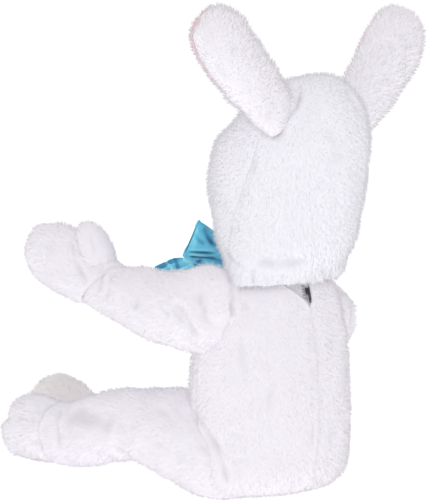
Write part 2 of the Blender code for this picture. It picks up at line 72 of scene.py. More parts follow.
def soft_lamp(name, place, size, watts, colour):
    """A square lamp that faces the middle of the costume."""
    data = bpy.data.lights.new(name, "AREA")
    data.size = size
    data.energy = watts
    data.color = colour
    lamp = bpy.data.objects.new(name, data)
    lamp.location = place
    lamp.rotation_euler = (Vector(place) - Vector(CAMERA_TARGET)).to_track_quat("Z", "Y").to_euler()
    bpy.context.scene.collection.objects.link(lamp)


soft_lamp("lamp_over_camera", (1.6, 1.1, 2.2), size=1.6, watts=5.1, colour=(1.0, 1.0, 1.0))
soft_lamp("lamp_overhead", (-0.7, 0.5, 2.8), size=1.8, watts=3.5, colour=(1.0, 0.99, 1.0))
soft_lamp("lamp_at_feet", (0.6, -2.4, 1.4), size=1.8, watts=4.0, colour=(1.0, 0.95, 0.96))

world = bpy.data.worlds.new("studio")
bpy.context.scene.world = world
world.use_nodes = True
world.node_tree.nodes["Background"].inputs["Color"].default_value = (0.985, 0.98, 1.0, 1.0)
ray = world.node_tree.nodes.new("ShaderNodeLightPath")
glow = world.node_tree.nodes.new("ShaderNodeMapRange")
glow.inputs["To Min"].default_value = 0.82  # as light
glow.inputs["To Max"].default_value = 1.10  # as the white backdrop that is seen
world.node_tree.links.new(ray.outputs["Is Camera Ray"], glow.inputs["Value"])
world.node_tree.links.new(glow.outputs["Result"], world.node_tree.nodes["Background"].inputs["Strength"])
bpy.context.scene.view_settings.view_transform = "Standard"


def set_sockets(node, **values):
    """Sets the sockets that are named, with _ for each space in a name."""
    for socket, value in values.items():
        node.inputs[socket.replace("_", " ")].default_value = value


def new_finish(name, **values):
    """A new material, with values for the sockets of its Principled shader."""
    made = bpy.data.materials.new(name)
    made.use_nodes = True
    set_sockets(made.node_tree.nodes["Principled BSDF"], **values)
    return made


FLOOR_HALF = 6.0
FLOOR_GAP = 0.0004  # between the floor and what rests on it
floor_corners = [(x * FLOOR_HALF, y * FLOOR_HALF) for x, y in ((-1, -1), (1, -1), (1, 1), (-1, 1))]
floor_mesh = bpy.data.meshes.new("floor")
floor_mesh.from_pydata([(x, y, -SEAT - FLOOR_GAP) for x, y in floor_corners], [], [(0, 1, 2, 3)])
floor = bpy.data.objects.new("floor", floor_mesh)
bpy.context.scene.collection.objects.link(floor)
floor_mesh.materials.append(new_finish(
    "pale_floor", Base_Color=(0.90, 0.90, 0.91, 1.0), Roughness=0.9,
    Emission_Color=(1.0, 1.0, 1.0, 1.0), Emission_Strength=0.42,
))


# Trunk: a front and two back panels of white plush, sewn at the sides and closed by a zip at
# the centre back. Sleeves and legs are set into holes of their own outline, so the trunk's
# section also has the outlines of the limbs.
def table(names, *rows):
    """The rows as one array for each named column."""
    return dict(zip(names.split(), np.array(rows, float).T))


TRUNK = table(
    "height half_width front back",
    (0.2590, 0.056, -0.048, 0.026),
    (0.2540, 0.067, -0.057, 0.031),
    (0.2470, 0.077, -0.066, 0.034),
    (0.2330, 0.089, -0.079, 0.037),
    (0.2100, 0.097, -0.093, 0.042),
    (0.1800, 0.102, -0.105, 0.047),
    (0.1480, 0.106, -0.112, 0.0515),
    (0.1120, 0.108, -0.114, 0.0530),
    (0.0760, 0.109, -0.114, 0.0530),
    (0.0450, 0.109, -0.112, 0.0510),
    (0.0220, 0.105, -0.106, 0.0450),
    (0.0080, 0.096, -0.096, 0.0340),
    (0.0030, 0.080, -0.080, 0.0180),
    (0.0030, 0.002, -0.034, -0.0300),
)
SIDE_SEAM = 105.0  # degrees round the trunk from the centre back
ZIP_PART_FROM = 0.2245  # height at which the two panels begin to part, over the slider
ZIP_OPEN_FROM = 0.2300  # height from which the left panel is folded away
ZIP_PART_WIDTH = 0.0045
ZIP_OPEN_WIDTH = 0.038
ARM_LEFT = table(
    "x y height across upright lean",
    (0.052, -0.008, 0.2050, 0.022, 0.024, 0),
    (0.086, -0.034, 0.2190, 0.036, 0.0550, 0),
    (0.099, -0.062, 0.2180, 0.042, 0.0505, 0),
    (0.109, -0.094, 0.2195, 0.042, 0.0445, 0),
    (0.115, -0.128, 0.2285, 0.037, 0.0415, 0.2),
    (0.118, -0.162, 0.2345, 0.032, 0.0365, 0.6),
    (0.120, -0.190, 0.2405, 0.0275, 0.0315, 0.85),
    (0.120, -0.212, 0.2425, 0.029, 0.0350, 0.7),
    (0.120, -0.238, 0.2530, 0.031, 0.0420, 0.4),
    (0.119, -0.267, 0.2635, 0.032, 0.0435, 0.1),
    (0.118, -0.296, 0.2700, 0.030, 0.0405, 0),
    (0.116, -0.320, 0.2740, 0.024, 0.032, 0),
    (0.1145, -0.334, 0.2760, 0.013, 0.019, 0),
    (0.114, -0.338, 0.2765, 0.004, 0.006, 0),
)
ARM_RIGHT = table(
    "x y height across upright lean",
    (-0.052, -0.008, 0.1980, 0.022, 0.024, 0),
    (-0.084, -0.028, 0.1960, 0.038, 0.0395, 0),
    (-0.110, -0.055, 0.1915, 0.045, 0.0470, 0),
    (-0.119, -0.092, 0.1890, 0.041, 0.0430, 0),
    (-0.124, -0.128, 0.1820, 0.036, 0.038, 0),
    (-0.119, -0.160, 0.1790, 0.032, 0.033, 0.3),
    (-0.112, -0.184, 0.1780, 0.0275, 0.029, 0.6),
    (-0.105, -0.203, 0.1785, 0.029, 0.031, 0.5),
    (-0.096, -0.229, 0.1780, 0.031, 0.035, 0.3),
    (-0.084, -0.258, 0.1760, 0.032, 0.037, 0.1),
    (-0.072, -0.286, 0.1730, 0.030, 0.035, 0),
    (-0.062, -0.309, 0.1700, 0.023, 0.028, 0),
    (-0.057, -0.321, 0.1685, 0.013, 0.016, 0),
    (-0.0555, -0.3245, 0.1680, 0.004, 0.005, 0),
)
LEG_LEFT = table(
    "x y height across upright lean",
    (0.052, -0.030, 0.046, 0.042, 0.0360, -0.7),
    (0.066, -0.046, 0.049, 0.054, 0.0580, -0.8),
    (0.076, -0.092, 0.0585, 0.053, 0.0575, -0.6),
    (0.084, -0.142, 0.068, 0.047, 0.048, -0.2),
    (0.089, -0.180, 0.069, 0.042, 0.045, 0),
    (0.090, -0.218, 0.061, 0.041, 0.0445, 0),
    (0.090, -0.256, 0.050, 0.038, 0.0435, 0),
    (0.089, -0.292, 0.043, 0.035, 0.0410, 0),
    (0.088, -0.324, 0.0412, 0.032, 0.0385, 0),
    (0.088, -0.342, 0.0425, 0.033, 0.0410, 0.05),
    (0.088, -0.361, 0.0435, 0.034, 0.0425, 0.15),
    (0.087, -0.381, 0.0440, 0.033, 0.0420, 0.3),
    (0.086, -0.401, 0.0420, 0.028, 0.0370, 0.4),
    (0.085, -0.417, 0.0400, 0.018, 0.0270, 0.4),
    (0.0845, -0.425, 0.0380, 0.006, 0.0100, 0.4),
)
LEG_RIGHT = table(
    "x y height across upright lean",
    (-0.052, -0.030, 0.044, 0.042, 0.0360, -0.7),
    (-0.064, -0.046, 0.048, 0.054, 0.0560, -0.8),
    (-0.068, -0.098, 0.054, 0.052, 0.0550, -0.6),
    (-0.065, -0.150, 0.054, 0.046, 0.048, -0.2),
    (-0.058, -0.196, 0.049, 0.042, 0.044, 0),
    (-0.045, -0.242, 0.043, 0.040, 0.041, 0),
    (-0.029, -0.290, 0.038, 0.036, 0.036, 0),
    (-0.016, -0.335, 0.036, 0.033, 0.034, 0),
    (-0.006, -0.372, 0.0365, 0.030, 0.0330, 0),
    (-0.002, -0.390, 0.0430, 0.032, 0.0400, 0.1),
    (0.002, -0.411, 0.0490, 0.033, 0.0455, 0.2),
    (0.006, -0.434, 0.0520, 0.032, 0.0455, 0.3),
    (0.009, -0.454, 0.0510, 0.027, 0.0390, 0.4),
    (0.011, -0.468, 0.0490, 0.017, 0.0270, 0.4),
    (0.012, -0.475, 0.0470, 0.006, 0.0090, 0.4),
)
CLEFT_ROW = 10.5  # where the cleft between the toes begins
CLEFT_DEPTH = 0.020
CLEFT_WIDTH = 0.007
CLEFT_RISE = 0.011  # over the middle of the foot
UPPER_TOE_BACK = 0.006  # how far the upper toe lies behind the lower one
UPPER_TOE_RISE = 0.012  # height over the cleft at which it is all the way back
PILE = 0.0035  # how far the cloth lies under the outline that the pile reaches
UNDERSIDE = 0.0010  # the same where it lies on the floor and the pile is pressed flat
CLOTH = 0.0012  # the plush's knitted backing
CLOTH_LOWEST = 0.0006 - SEAT
PILE_LOWEST = 0.0003 - SEAT
JOINED = 0.0040  # how far pieces that meet overlap before they are cut off
CELL = 0.0036  # mesh of the cloth
EVENED = 14  # how often the rings of a bent tube are evened out
HOLLOW_FROM = 0.0006  # depth at which painted shade begins in a fold's hollow
HOLLOW_OVER = 0.0035  # depth beyond that at which the painted shade is full
around = 2 * np.pi


def smooth(values, places):
    """A column read at fractional rows, on a Catmull-Rom curve through all of its values."""
    ends = np.concatenate([[2 * values[0] - values[1]], values, [2 * values[-1] - values[-2]]])
    row = np.clip(places.astype(int), 0, len(values) - 2)
    part = places - row
    before, first, last, after = (ends[row + step] for step in range(4))
    straight = 2 * first + (last - before) * part
    bend = (2 * before - 5 * first + 4 * last - after) * part**2
    twist = (3 * first - before - 3 * last + after) * part**3
    return (straight + bend + twist) / 2


def unit(vectors):
    return vectors / (np.linalg.norm(vectors, axis=-1, keepdims=True) + 1e-12)


def upright_form(shape):
    """An upright form: at each row's height an ellipse of its half width, from its front
    to its back. The angle starts at the back and turns towards +X."""
    def outline(row, angle):
        front = smooth(shape["front"], row)
        back = smooth(shape["back"], row)
        x = smooth(shape["half_width"], row) * np.sin(angle)
        y = (front + back) / 2 + (back - front) / 2 * np.cos(angle)
        return np.stack([x, y, smooth(shape["height"], row) - SEAT + 0 * angle], axis=-1)
    outline.last = len(shape["height"]) - 1
    return outline


def limb_frame(shape, row):
    """Centre of a limb's ring, and the directions along it, across it and up it."""
    def centre(at):
        line = [smooth(shape["x"], at), smooth(shape["y"], at), smooth(shape["height"], at) - SEAT]
        return np.stack(line, axis=-1)
    last = len(shape["x"]) - 1
    along = unit(centre(np.minimum(row + 0.02, last)) - centre(np.maximum(row - 0.02, 0)))
    side = unit(np.cross(along, (0.0, 0.0, 1.0)))
    return centre(row), along, side, np.cross(side, along)


def limb_form(shape, toes=False):
    """A limb: ellipses round its centre line, tipped back by lean, flattened where they
    reach the floor, and drawn in at the cleft between the toes."""
    def outline(row, angle):
        centre, along, side, up = limb_frame(shape, row)
        across = smooth(shape["across"], row)[..., None] * np.cos(angle)[..., None]
        rise = smooth(shape["upright"], row)[..., None] * np.sin(angle)[..., None]
        points = centre + side * across + up * rise
        if "lean" in shape:
            points = points - along * rise * smooth(shape["lean"], row)[..., None]
        points[..., 2] = np.maximum(points[..., 2], CLOTH_LOWEST)
        if toes:
            reach = np.clip((row - CLEFT_ROW) / (outline.last - CLEFT_ROW), 0, 1)
            over_cleft = points[..., 2] - centre[..., 2] - CLEFT_RISE
            drawn = np.exp(-((over_cleft / CLEFT_WIDTH) ** 2))
            upper = eased(over_cleft, 0, UPPER_TOE_RISE)
            points[..., 1] += (drawn * CLEFT_DEPTH + upper * UPPER_TOE_BACK) * reach
        return points
    outline.last = len(shape["height"]) - 1
    return outline


def depth_in_upright(shape):
    """How deep points lie inside an upright form, along the line to its middle. Its top
    counts as a little higher than it is."""
    higher = 0.004
    rows = np.linspace(0, len(shape["height"]) - 1, 300)
    heights = smooth(shape["height"], rows) - SEAT
    order = np.argsort(heights)
    columns = [smooth(shape[name], rows)[order] for name in ("half_width", "front", "back")]
    low, high = heights.min(), heights.max()

    def depth(points):
        wide, front, back = (np.interp(points[:, 2], heights[order], c) for c in columns)
        x, y = points[:, 0], points[:, 1] - (front + back) / 2
        share = np.sqrt((x / wide) ** 2 + (y / ((back - front) / 2)) ** 2) + 1e-6
        radial = (1 / share - 1) * np.hypot(x, y)
        ends = np.minimum(points[:, 2] - low, high - points[:, 2] + higher)
        return np.minimum(radial, ends)
    return depth


def depth_in_limb(shape):
    """How deep points lie inside a limb, measured in the ring that passes closest to them.
    A ring's section reaches a little way along the limb, and of two rings in line with a
    point the nearer one counts."""
    ring_reach = 0.006
    nearness = 0.05
    rows = np.linspace(0, len(shape["x"]) - 1, 90)
    centre, along, side, up = limb_frame(shape, rows)
    across = smooth(shape["across"], rows)
    upright = smooth(shape["upright"], rows)
    lean = smooth(shape["lean"], rows) if "lean" in shape else 0 * rows

    def depth(points):
        depths = []
        for part in np.array_split(points, len(points) // 20000 + 1):
            from_centre = part[:, None] - centre[None]
            forward = (from_centre * along).sum(axis=2)
            rise = (from_centre * up).sum(axis=2)
            off = forward + rise * lean
            ring = (off**2 + nearness * (from_centre**2).sum(axis=2)).argmin(axis=1)
            pick = (np.arange(len(part)), ring)
            sideways = (from_centre[pick] * side[ring]).sum(axis=1)
            share = np.hypot(sideways / across[ring], rise[pick] / upright[ring])
            inside = (1 - share) * np.minimum(across[ring], upright[ring])
            depths.append(np.minimum(inside, ring_reach - np.abs(off[pick])))
        return np.concatenate(depths)
    return depth


def seen(points):
    """Where the camera sees points, in the photograph's pixels."""
    offset = points - camera_place
    scale = CAMERA_DISTANCE / PIXEL / -(offset @ to_camera)
    across = PHOTO_SIZE[0] / 2 + scale * (offset @ camera_right)
    down = PHOTO_SIZE[1] / 2 - scale * (offset @ camera_up)
    return np.stack([across, down], axis=-1)


def eased(value, low, high):
    """0 below low, 1 above high, and an even S curve in between."""
    share = np.clip((value - low) / (high - low), 0, 1)
    return share * share * (3 - 2 * share)


def folds(points, normals, lines):
    """How far folds lift or draw in points, in metres. Each line has its rise in
    millimetres, its reach and its corners in the photograph's pixels. The rise falls off as
    a bell with the distance from the line, fades at both its ends and wavers along it, and
    it acts only where the surface faces the camera."""
    place = seen(points)
    total = np.zeros(points.shape[:-1])
    facing = eased(normals @ to_camera, 0.02, 0.3)
    for rise, reach, *corners in lines:
        corners = np.array(corners, float)
        lengths = np.linalg.norm(np.diff(corners, axis=0), axis=1)
        before = np.concatenate([[0], np.cumsum(lengths)])
        nearest = np.full(total.shape, 1e9)
        along = np.zeros(total.shape)
        for first, last, start, length in zip(corners, corners[1:], before, lengths):
            share = np.clip(((place - first) @ (last - first)) / length**2, 0, 1)
            gap = np.linalg.norm(place - first - share[..., None] * (last - first), axis=-1)
            closer = gap < nearest
            nearest = np.where(closer, gap, nearest)
            along = np.where(closer, start + share * length, along)
        ends = eased(np.minimum(along, before[-1] - along), -0.3 * reach, 0.2 * before[-1])
        waver = 1 + 0.25 * np.sin(along / 5.0 + corners[0, 0])
        total += rise / 1000 * np.exp(-((nearest / reach) ** 2)) * ends * waver * facing
    return total


def lumps(points, size, seed):
    """Even, soft unevenness from -1 to 1: waves of about one size in many directions."""
    chance = np.random.default_rng(seed)
    directions = unit(chance.normal(size=(9, 3)))
    lengths = size * chance.uniform(0.7, 1.5, 9)
    starts = chance.uniform(0, around, 9)
    waves = np.sin(points @ (directions * (around / lengths[:, None])).T + starts)
    return waves.sum(axis=-1) / 4.0


def put_in_mesh(name, points, faces, finish):
    """Makes a smooth object of whole arrays of points and of faces with equal corners."""
    mesh = bpy.data.meshes.new(name)
    mesh.vertices.add(len(points))
    mesh.vertices.foreach_set("co", points.astype(np.float32).ravel())
    mesh.loops.add(faces.size)
    mesh.loops.foreach_set("vertex_index", faces.astype(np.int32).ravel())
    mesh.polygons.add(len(faces))
    mesh.polygons.foreach_set("loop_start", np.arange(0, faces.size, faces.shape[1], dtype=np.int32))
    mesh.update(calc_edges=True)
    mesh.shade_smooth()
    mesh.materials.append(finish)
    piece = bpy.data.objects.new(name, mesh)
    bpy.context.scene.collection.objects.link(piece)
    return piece


def grid_faces(rows, columns, wrap):
    """Four-sided faces between neighbouring points of a grid. wrap joins the last column
    to the first."""
    column = np.arange(columns if wrap else columns - 1)
    here = np.arange(rows - 1)[:, None] * columns + column
    beside = np.arange(rows - 1)[:, None] * columns + (column + 1) % columns
    corners = [here, beside, beside + columns, here + columns]
    return np.stack(corners, axis=-1).reshape(-1, 4)


def outward(outline, row, angle):
    """Unit normals of an outline: the cross product of its two small steps, turned to
    face away from the middle of each row."""
    row_step, angle_step = 0.03, 0.02
    ahead = outline(np.minimum(row + row_step, outline.last), angle)
    forward = ahead - outline(np.maximum(row - row_step, 0), angle)
    round_ = outline(row, angle + angle_step) - outline(row, angle - angle_step)
    normal = unit(np.cross(forward, round_))
    away = outline(row, angle) - (outline(row, angle) + outline(row, angle + np.pi)) / 2
    return normal * np.sign((normal * away).sum())


def turned_out(points, normals, faces):
    """The faces as they are, or all turned over if they face against the normals."""
    facing = np.cross(points[faces[:, 2]] - points[faces[:, 0]], points[faces[:, 3]] - points[faces[:, 1]])
    return faces[:, ::-1] if (facing * normals[faces[:, 0]]).sum() < 0 else faces


def give_wall(piece, thickness):
    """Makes a wall of a sheet, inwards from its face."""
    wall = piece.modifiers.new("wall", "SOLIDIFY")
    wall.thickness = thickness
    wall.offset = -1.0


# Each layer of pile has its tufts for each square metre, their lean off the normal in
# degrees, their share of the pile's length, half their width and how far they stray.
UNDERCOAT = dict(density=456000, lean=(48, 70), share=(0.48, 0.68), half_width=0.00053, stray=0.30)
LONG_PILE = dict(density=190000, lean=(8, 52), share=(0.80, 1.25), half_width=0.00028, stray=0.60)
CLUMP = 0.009  # size of the patches in which neighbouring tufts lean the same way
TUFT_PATCH = 0.006  # size of the patches in which they stand higher or lower
ROOT = 0.0004  # how far a tuft begins under the cloth's face


def pile_layer(points, normals, faces, length, comb, hollow, layer, seed):
    """One layer of tufts, with their roots spread evenly over the faces. Returns the tufts'
    roots, runs from root to tip, half widths, tips, their normals from the front and from
    behind, and how far they stand in a hollow. A normal lies between the surface's and the
    tuft's own."""
    chance = np.random.default_rng(seed)
    corners = points[faces]
    size = np.linalg.norm(np.cross(corners[:, 2] - corners[:, 0], corners[:, 3] - corners[:, 1]), axis=1) / 2
    grown = np.cumsum(size)
    count = int(grown[-1] * layer["density"])
    spread = (np.arange(count) + chance.uniform(size=count)) / count * grown[-1]
    face = faces[np.minimum(np.searchsorted(grown, spread), len(faces) - 1)]
    across, along = chance.uniform(size=(2, count, 1))
    shares = [(1 - across) * (1 - along), across * (1 - along), across * along, (1 - across) * along]
    root = sum(share * points[corner] for share, corner in zip(shares, face.T))
    out = unit(sum(share * normals[corner] for share, corner in zip(shares, face.T)))
    reach = sum(share[:, 0] * length[corner] for share, corner in zip(shares, face.T))
    flow = sum(share * comb[corner] for share, corner in zip(shares, face.T))
    # neighbouring tufts clump: the comb wavers in patches, and some stand higher
    patch = np.stack([lumps(root, CLUMP, seed + k) for k in range(3)], axis=-1)
    lying = flow + 0.22 * patch + layer["stray"] * chance.normal(size=(count, 3))
    lying = unit(lying - out * (lying * out).sum(axis=1, keepdims=True))
    lean = np.radians(chance.uniform(*layer["lean"], (count, 1)))
    way = out * np.cos(lean) + lying * np.sin(lean)
    wide = unit(np.cross(way, out) + 0.4 * chance.normal(size=(count, 3)))
    higher = 1 + 0.16 * lumps(root, TUFT_PATCH, seed + 7)
    reach = (reach * chance.uniform(*layer["share"], count) * higher)[:, None]
    half = layer["half_width"] * chance.uniform(0.8, 1.3, (count, 1))
    start = root - out * ROOT
    tip = start + way * reach - out * reach * 0.10 + lying * reach * 0.05
    wide = wide * half * np.sign((np.cross(way, wide) * out).sum(axis=1, keepdims=True))
    deep = sum(share[:, 0] * hollow[corner] for share, corner in zip(shares, face.T))
    flat = unit(np.cross(way, wide))
    return start, way * reach, wide, tip, unit(out + 0.35 * flat), unit(way - flat), deep


def mark(piece, name, values):
    """Keeps a value from 0 to 1 for each point of a mesh, which its finish reads."""
    piece.data.attributes.new(name, "FLOAT", "POINT").data.foreach_set(
        "value", np.clip(values, 0, 1).astype(np.float32)
    )


def pile_of(name, points, normals, faces, length, comb, hollow, finish, seed):
    """Pile in two layers. A tuft of the short, dense undercoat is a narrow triangle that
    lies along the comb. A long one stands up through it and makes the soft edge. It is a
    kite with a fold down its middle: from its root it widens and then narrows to its tip."""
    cloth = points, normals, faces, length, comb, hollow
    start, run, wide, tip, *held = pile_layer(*cloth, UNDERCOAT, seed)
    short = np.stack([start - wide, tip, start + wide], axis=1).reshape(-1, 3)
    short_faces = np.arange(len(short)).reshape(-1, 3)
    short_held = [np.repeat(values, 3, axis=0) for values in held]
    start, run, wide, tip, *held = pile_layer(*cloth, LONG_PILE, seed + 500)
    middle = start + run * 0.45
    long_ = np.stack([start, middle - wide, tip, middle + wide], axis=1).reshape(-1, 3)
    base = np.arange(len(start))[:, None] * 4 + len(short)
    long_faces = np.concatenate([base + (0, 1, 2), base + (0, 2, 3)], axis=1).reshape(-1, 3)
    tufts = np.concatenate([short, long_])
    tufts[:, 2] = np.maximum(tufts[:, 2], PILE_LOWEST)
    piece = put_in_mesh(name, tufts, np.concatenate([short_faces, long_faces]), finish)
    front, behind, deep = (np.concatenate([a, np.repeat(b, 4, axis=0)]) for a, b in zip(short_held, held))
    for label, vectors in (("custom_normal", front), ("normal_behind", behind)):
        piece.data.attributes.new(label, "FLOAT_VECTOR", "POINT").data.foreach_set(
            "vector", vectors.astype(np.float32).ravel()
        )
    mark(piece, "hollow", deep)
    # the cloth under it stands for it in shadows and in light thrown back
    piece.visible_shadow = False
    piece.visible_diffuse = False
    return piece


def on_relief(surface, plain, wrap):
    """Normals of a grid after its folds: the cross product of the steps to its neighbours,
    to the same side as the plain outline's normals, which also serve at a pole."""
    if wrap:
        beside = np.roll(surface, -1, axis=1) - np.roll(surface, 1, axis=1)
    else:
        beside = np.gradient(surface, axis=1)
    found = unit(np.cross(np.gradient(surface, axis=0), beside))
    found = found * np.sign((found * plain).sum(axis=-1, keepdims=True))
    return unit(found + 0.1 * plain)


TIP_RINGS = (0.75, 0.50, 0.27, 0.06)  # sizes of the rings that round off a tube's end


def rounded_off(values):
    """A grid with more rings after its last one, each drawn in towards that ring's middle."""
    last = values[-1:]
    middle = last.mean(axis=1, keepdims=True)
    return np.concatenate([values] + [middle + (last - middle) * share for share in TIP_RINGS])


def plush(name, node, outline, rows, start, stop, cut_by, relief, comb, finish,
          length=0.0058, wrap=False, tip=False, seed=1, above=0.0, bare=None):
    """A panel or tube of plush on an outline, between two angles for each row. cut_by are
    depths of the forms that the piece ends at, relief gives the folds in metres, and comb
    the direction in which the pile lies. length is the pile's, wrap closes a tube, tip
    rounds off its end, above lifts the cloth off the one under it, and bare says where it
    has no pile. Returns the cloth and its pile."""
    start = np.broadcast_to(start, rows.shape).astype(float)
    stop = np.broadcast_to(stop, rows.shape).astype(float)
    spans = [outline(rows, start + (stop - start) * share) for share in np.linspace(0, 1, 13)]
    girth = max(sum(np.linalg.norm(b - a, axis=-1) for a, b in zip(spans, spans[1:])))
    columns = max(int(girth / CELL), 4)
    share = np.linspace(0, 1, columns, endpoint=not wrap)
    row = np.repeat(rows[:, None], columns, axis=1)
    angle = start[:, None] + (stop - start)[:, None] * share
    surface = outline(row, angle)
    normal = outward(outline, row, angle)
    if wrap:
        # where a tube bends, rings that come close are evened out
        for _ in range(EVENED):
            surface[1:-1] = (surface[:-2] + 2 * surface[1:-1] + surface[2:]) / 4
        normal = on_relief(surface, normal, wrap)
    rise = relief(row, angle, surface, normal)
    # the pile is pressed flat where the cloth faces down close to the floor
    pressed = eased(-normal[..., 2], 0.6, 0.97) * eased(-surface[..., 2], SEAT - 0.01, SEAT)
    lift = rise * (1 - pressed) - PILE + (PILE - UNDERSIDE) * pressed + above
    surface = surface + normal * lift[..., None]
    surface[..., 2] = np.maximum(surface[..., 2], CLOTH_LOWEST)
    if tip:
        surface, normal, rise = (rounded_off(values) for values in (surface, normal, rise))
        row, angle = (np.pad(values, ((0, len(TIP_RINGS)), (0, 0)), "edge") for values in (row, angle))
    normal = on_relief(surface, unit(normal), wrap)
    points, normals = surface.reshape(-1, 3), normal.reshape(-1, 3)
    faces = grid_faces(len(surface), columns, wrap)
    middles = points[faces].mean(axis=1)
    kept = np.ones(len(faces), bool)
    for depth in cut_by:
        kept &= depth(middles) < PILE + JOINED
    faces = faces[kept]
    hairy = np.ones(len(faces), bool)
    if bare:
        hairy = ~bare(row.reshape(-1)[faces[:, 0]], angle.reshape(-1)[faces[:, 0]])
    faces = turned_out(points, normals, faces)
    used, renumbered = np.unique(faces, return_inverse=True)
    faces = renumbered.reshape(faces.shape)
    points, normals, rise = points[used], normals[used], rise.reshape(-1)[used]
    # the pile is shorter in the hollows, and painted shade greys pile and cloth there
    short = length * np.clip(1 + rise / 0.0060, 0.55, 1.1)
    hollow = 0.6 * np.clip((-rise - HOLLOW_FROM) / HOLLOW_OVER, 0, 1)
    flow = comb(points, normals)
    cloth = put_in_mesh(name, points, faces, finish[0])
    mark(cloth, "hollow", hollow)
    if tip:
        close_tip(cloth)
    give_wall(cloth, CLOTH)
    pile = pile_of(name + "_pile", points, normals, faces[hairy], short, flow, hollow, finish[1], seed)
    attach(cloth, "costume")
    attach(pile, "costume")
    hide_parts(node)
    return cloth, pile


def close_tip(cloth):
    """Closes the small end ring of a tube, which is its only short open edge."""
    shape = bmesh.new()
    shape.from_mesh(cloth.data)
    bmesh.ops.holes_fill(shape, edges=[e for e in shape.edges if e.is_boundary and e.calc_length() < 0.0012])
    shape.to_mesh(cloth.data)
    shape.free()


def add_node(tree, kind, **values):
    """Adds a node and sets its sockets. A Mix node mixes colours."""
    node = tree.nodes.new(kind)
    if kind == "ShaderNodeMix":
        node.data_type = "RGBA"
    set_sockets(node, **values)
    return node


def read_mark(tree, name):
    """Adds a node that reads what the mesh keeps under a name."""
    node = tree.nodes.new("ShaderNodeAttribute")
    node.attribute_name = name
    return node


# The pile's own pattern: a colour between two that varies in patches, and fine fibres.
mottle = bpy.data.node_groups.new("pile_mottle", "ShaderNodeTree")
for socket_name, kind, where in (
    ("Light", "NodeSocketColor", "INPUT"),
    ("Dark", "NodeSocketColor", "INPUT"),
    ("Patch Scale", "NodeSocketFloat", "INPUT"),
    ("Fibre Scale", "NodeSocketFloat", "INPUT"),
    ("Colour", "NodeSocketColor", "OUTPUT"),
    ("Height", "NodeSocketFloat", "OUTPUT"),
):
    mottle.interface.new_socket(socket_name, in_out=where, socket_type=kind)
given = mottle.nodes.new("NodeGroupInput")
result = mottle.nodes.new("NodeGroupOutput")
place = mottle.nodes.new("ShaderNodeTexCoord")
patches = add_node(mottle, "ShaderNodeTexNoise", Detail=3.0)
fibres = add_node(mottle, "ShaderNodeTexNoise", Detail=2.0)
blend = add_node(mottle, "ShaderNodeMix")
join = mottle.links.new
join(place.outputs["Object"], patches.inputs["Vector"])
join(place.outputs["Object"], fibres.inputs["Vector"])
join(given.outputs["Patch Scale"], patches.inputs["Scale"])
join(given.outputs["Fibre Scale"], fibres.inputs["Scale"])
join(patches.outputs["Fac"], blend.inputs["Factor"])
join(given.outputs["Light"], blend.inputs["A"])
join(given.outputs["Dark"], blend.inputs["B"])
join(blend.outputs["Result"], result.inputs["Colour"])
join(fibres.outputs["Fac"], result.inputs["Height"])


def plush_finish(name, light, dark):
    """Matt pile with a soft sheen. Its colour varies in patches of about 20 mm, painted shade greys it
    in the hollows of folds and seams, and fine fibres stand as a bump."""
    made = new_finish(name, Roughness=0.95, Specular_IOR_Level=0.10, Sheen_Weight=0.10, Sheen_Roughness=0.6)
    tree = made.node_tree
    join = tree.links.new
    shader = tree.nodes["Principled BSDF"]
    group = tree.nodes.new("ShaderNodeGroup")
    group.node_tree = mottle
    set_sockets(group, Light=(*light, 1.0), Dark=(*dark, 1.0), Patch_Scale=38.0, Fibre_Scale=900.0)
    bump = add_node(tree, "ShaderNodeBump", Strength=0.4, Distance=0.0006)
    hollow = read_mark(tree, "hollow")
    # painted shade: the colour turns towards a darker copy of the dark tone as far as the hollow mark goes
    greyed = add_node(tree, "ShaderNodeMix", B=(*[0.72 * tone for tone in dark], 1.0))
    join(hollow.outputs["Fac"], greyed.inputs["Factor"])
    join(group.outputs["Colour"], greyed.inputs["A"])
    join(greyed.outputs["Result"], shader.inputs["Base Color"])
    join(group.outputs["Height"], bump.inputs["Height"])
    join(bump.outputs["Normal"], shader.inputs["Normal"])
    return made


def pile_finish(name, light, dark):
    """The tufts' finish. A tuft that is seen from behind has a normal of its own that still
    leans outwards, and painted light: a flat base colour and a glow from emission in place of the light that
    hair passes on, so that the pile stays bright and soft at the edge."""
    made = plush_finish(name, light, dark)
    tree = made.node_tree
    join = tree.links.new
    shader = tree.nodes["Principled BSDF"]
    tree.nodes.remove(tree.nodes["Bump"])
    # single hairs have no gloss of their own that could darken the pile towards its edge
    set_sockets(shader, Specular_IOR_Level=0.0, Sheen_Weight=0.0, Emission_Strength=1.0)
    shape = tree.nodes.new("ShaderNodeNewGeometry")
    behind = read_mark(tree, "normal_behind")
    side = tree.nodes.new("ShaderNodeMix")
    side.data_type = "VECTOR"
    join(shape.outputs["Backfacing"], side.inputs["Factor"])
    join(shape.outputs["Normal"], side.inputs["A"])
    join(behind.outputs["Vector"], side.inputs["B"])
    join(side.outputs["Result"], shader.inputs["Normal"])
    # painted light: seen from behind, a tuft's base colour is 0.40 of the light tone and it glows with 0.58
    # of it
    front = shader.inputs["Base Color"].links[0].from_socket
    for socket, share in (("Base Color", 0.40), ("Emission Color", 0.58)):
        painted_light_behind = (*[share * value for value in light], 1.0)
        tone = add_node(tree, "ShaderNodeMix", A=(0.0, 0.0, 0.0, 1.0), B=painted_light_behind)
        if socket == "Base Color":
            join(front, tone.inputs["A"])
        join(shape.outputs["Backfacing"], tone.inputs["Factor"])
        join(tone.outputs["Result"], shader.inputs[socket])
    return made


white_plush = (
    plush_finish("white_plush", (0.93, 0.900, 0.94), (0.88, 0.845, 0.89)),
    pile_finish("white_pile", (0.94, 0.910, 0.95), (0.90, 0.865, 0.91)),
)

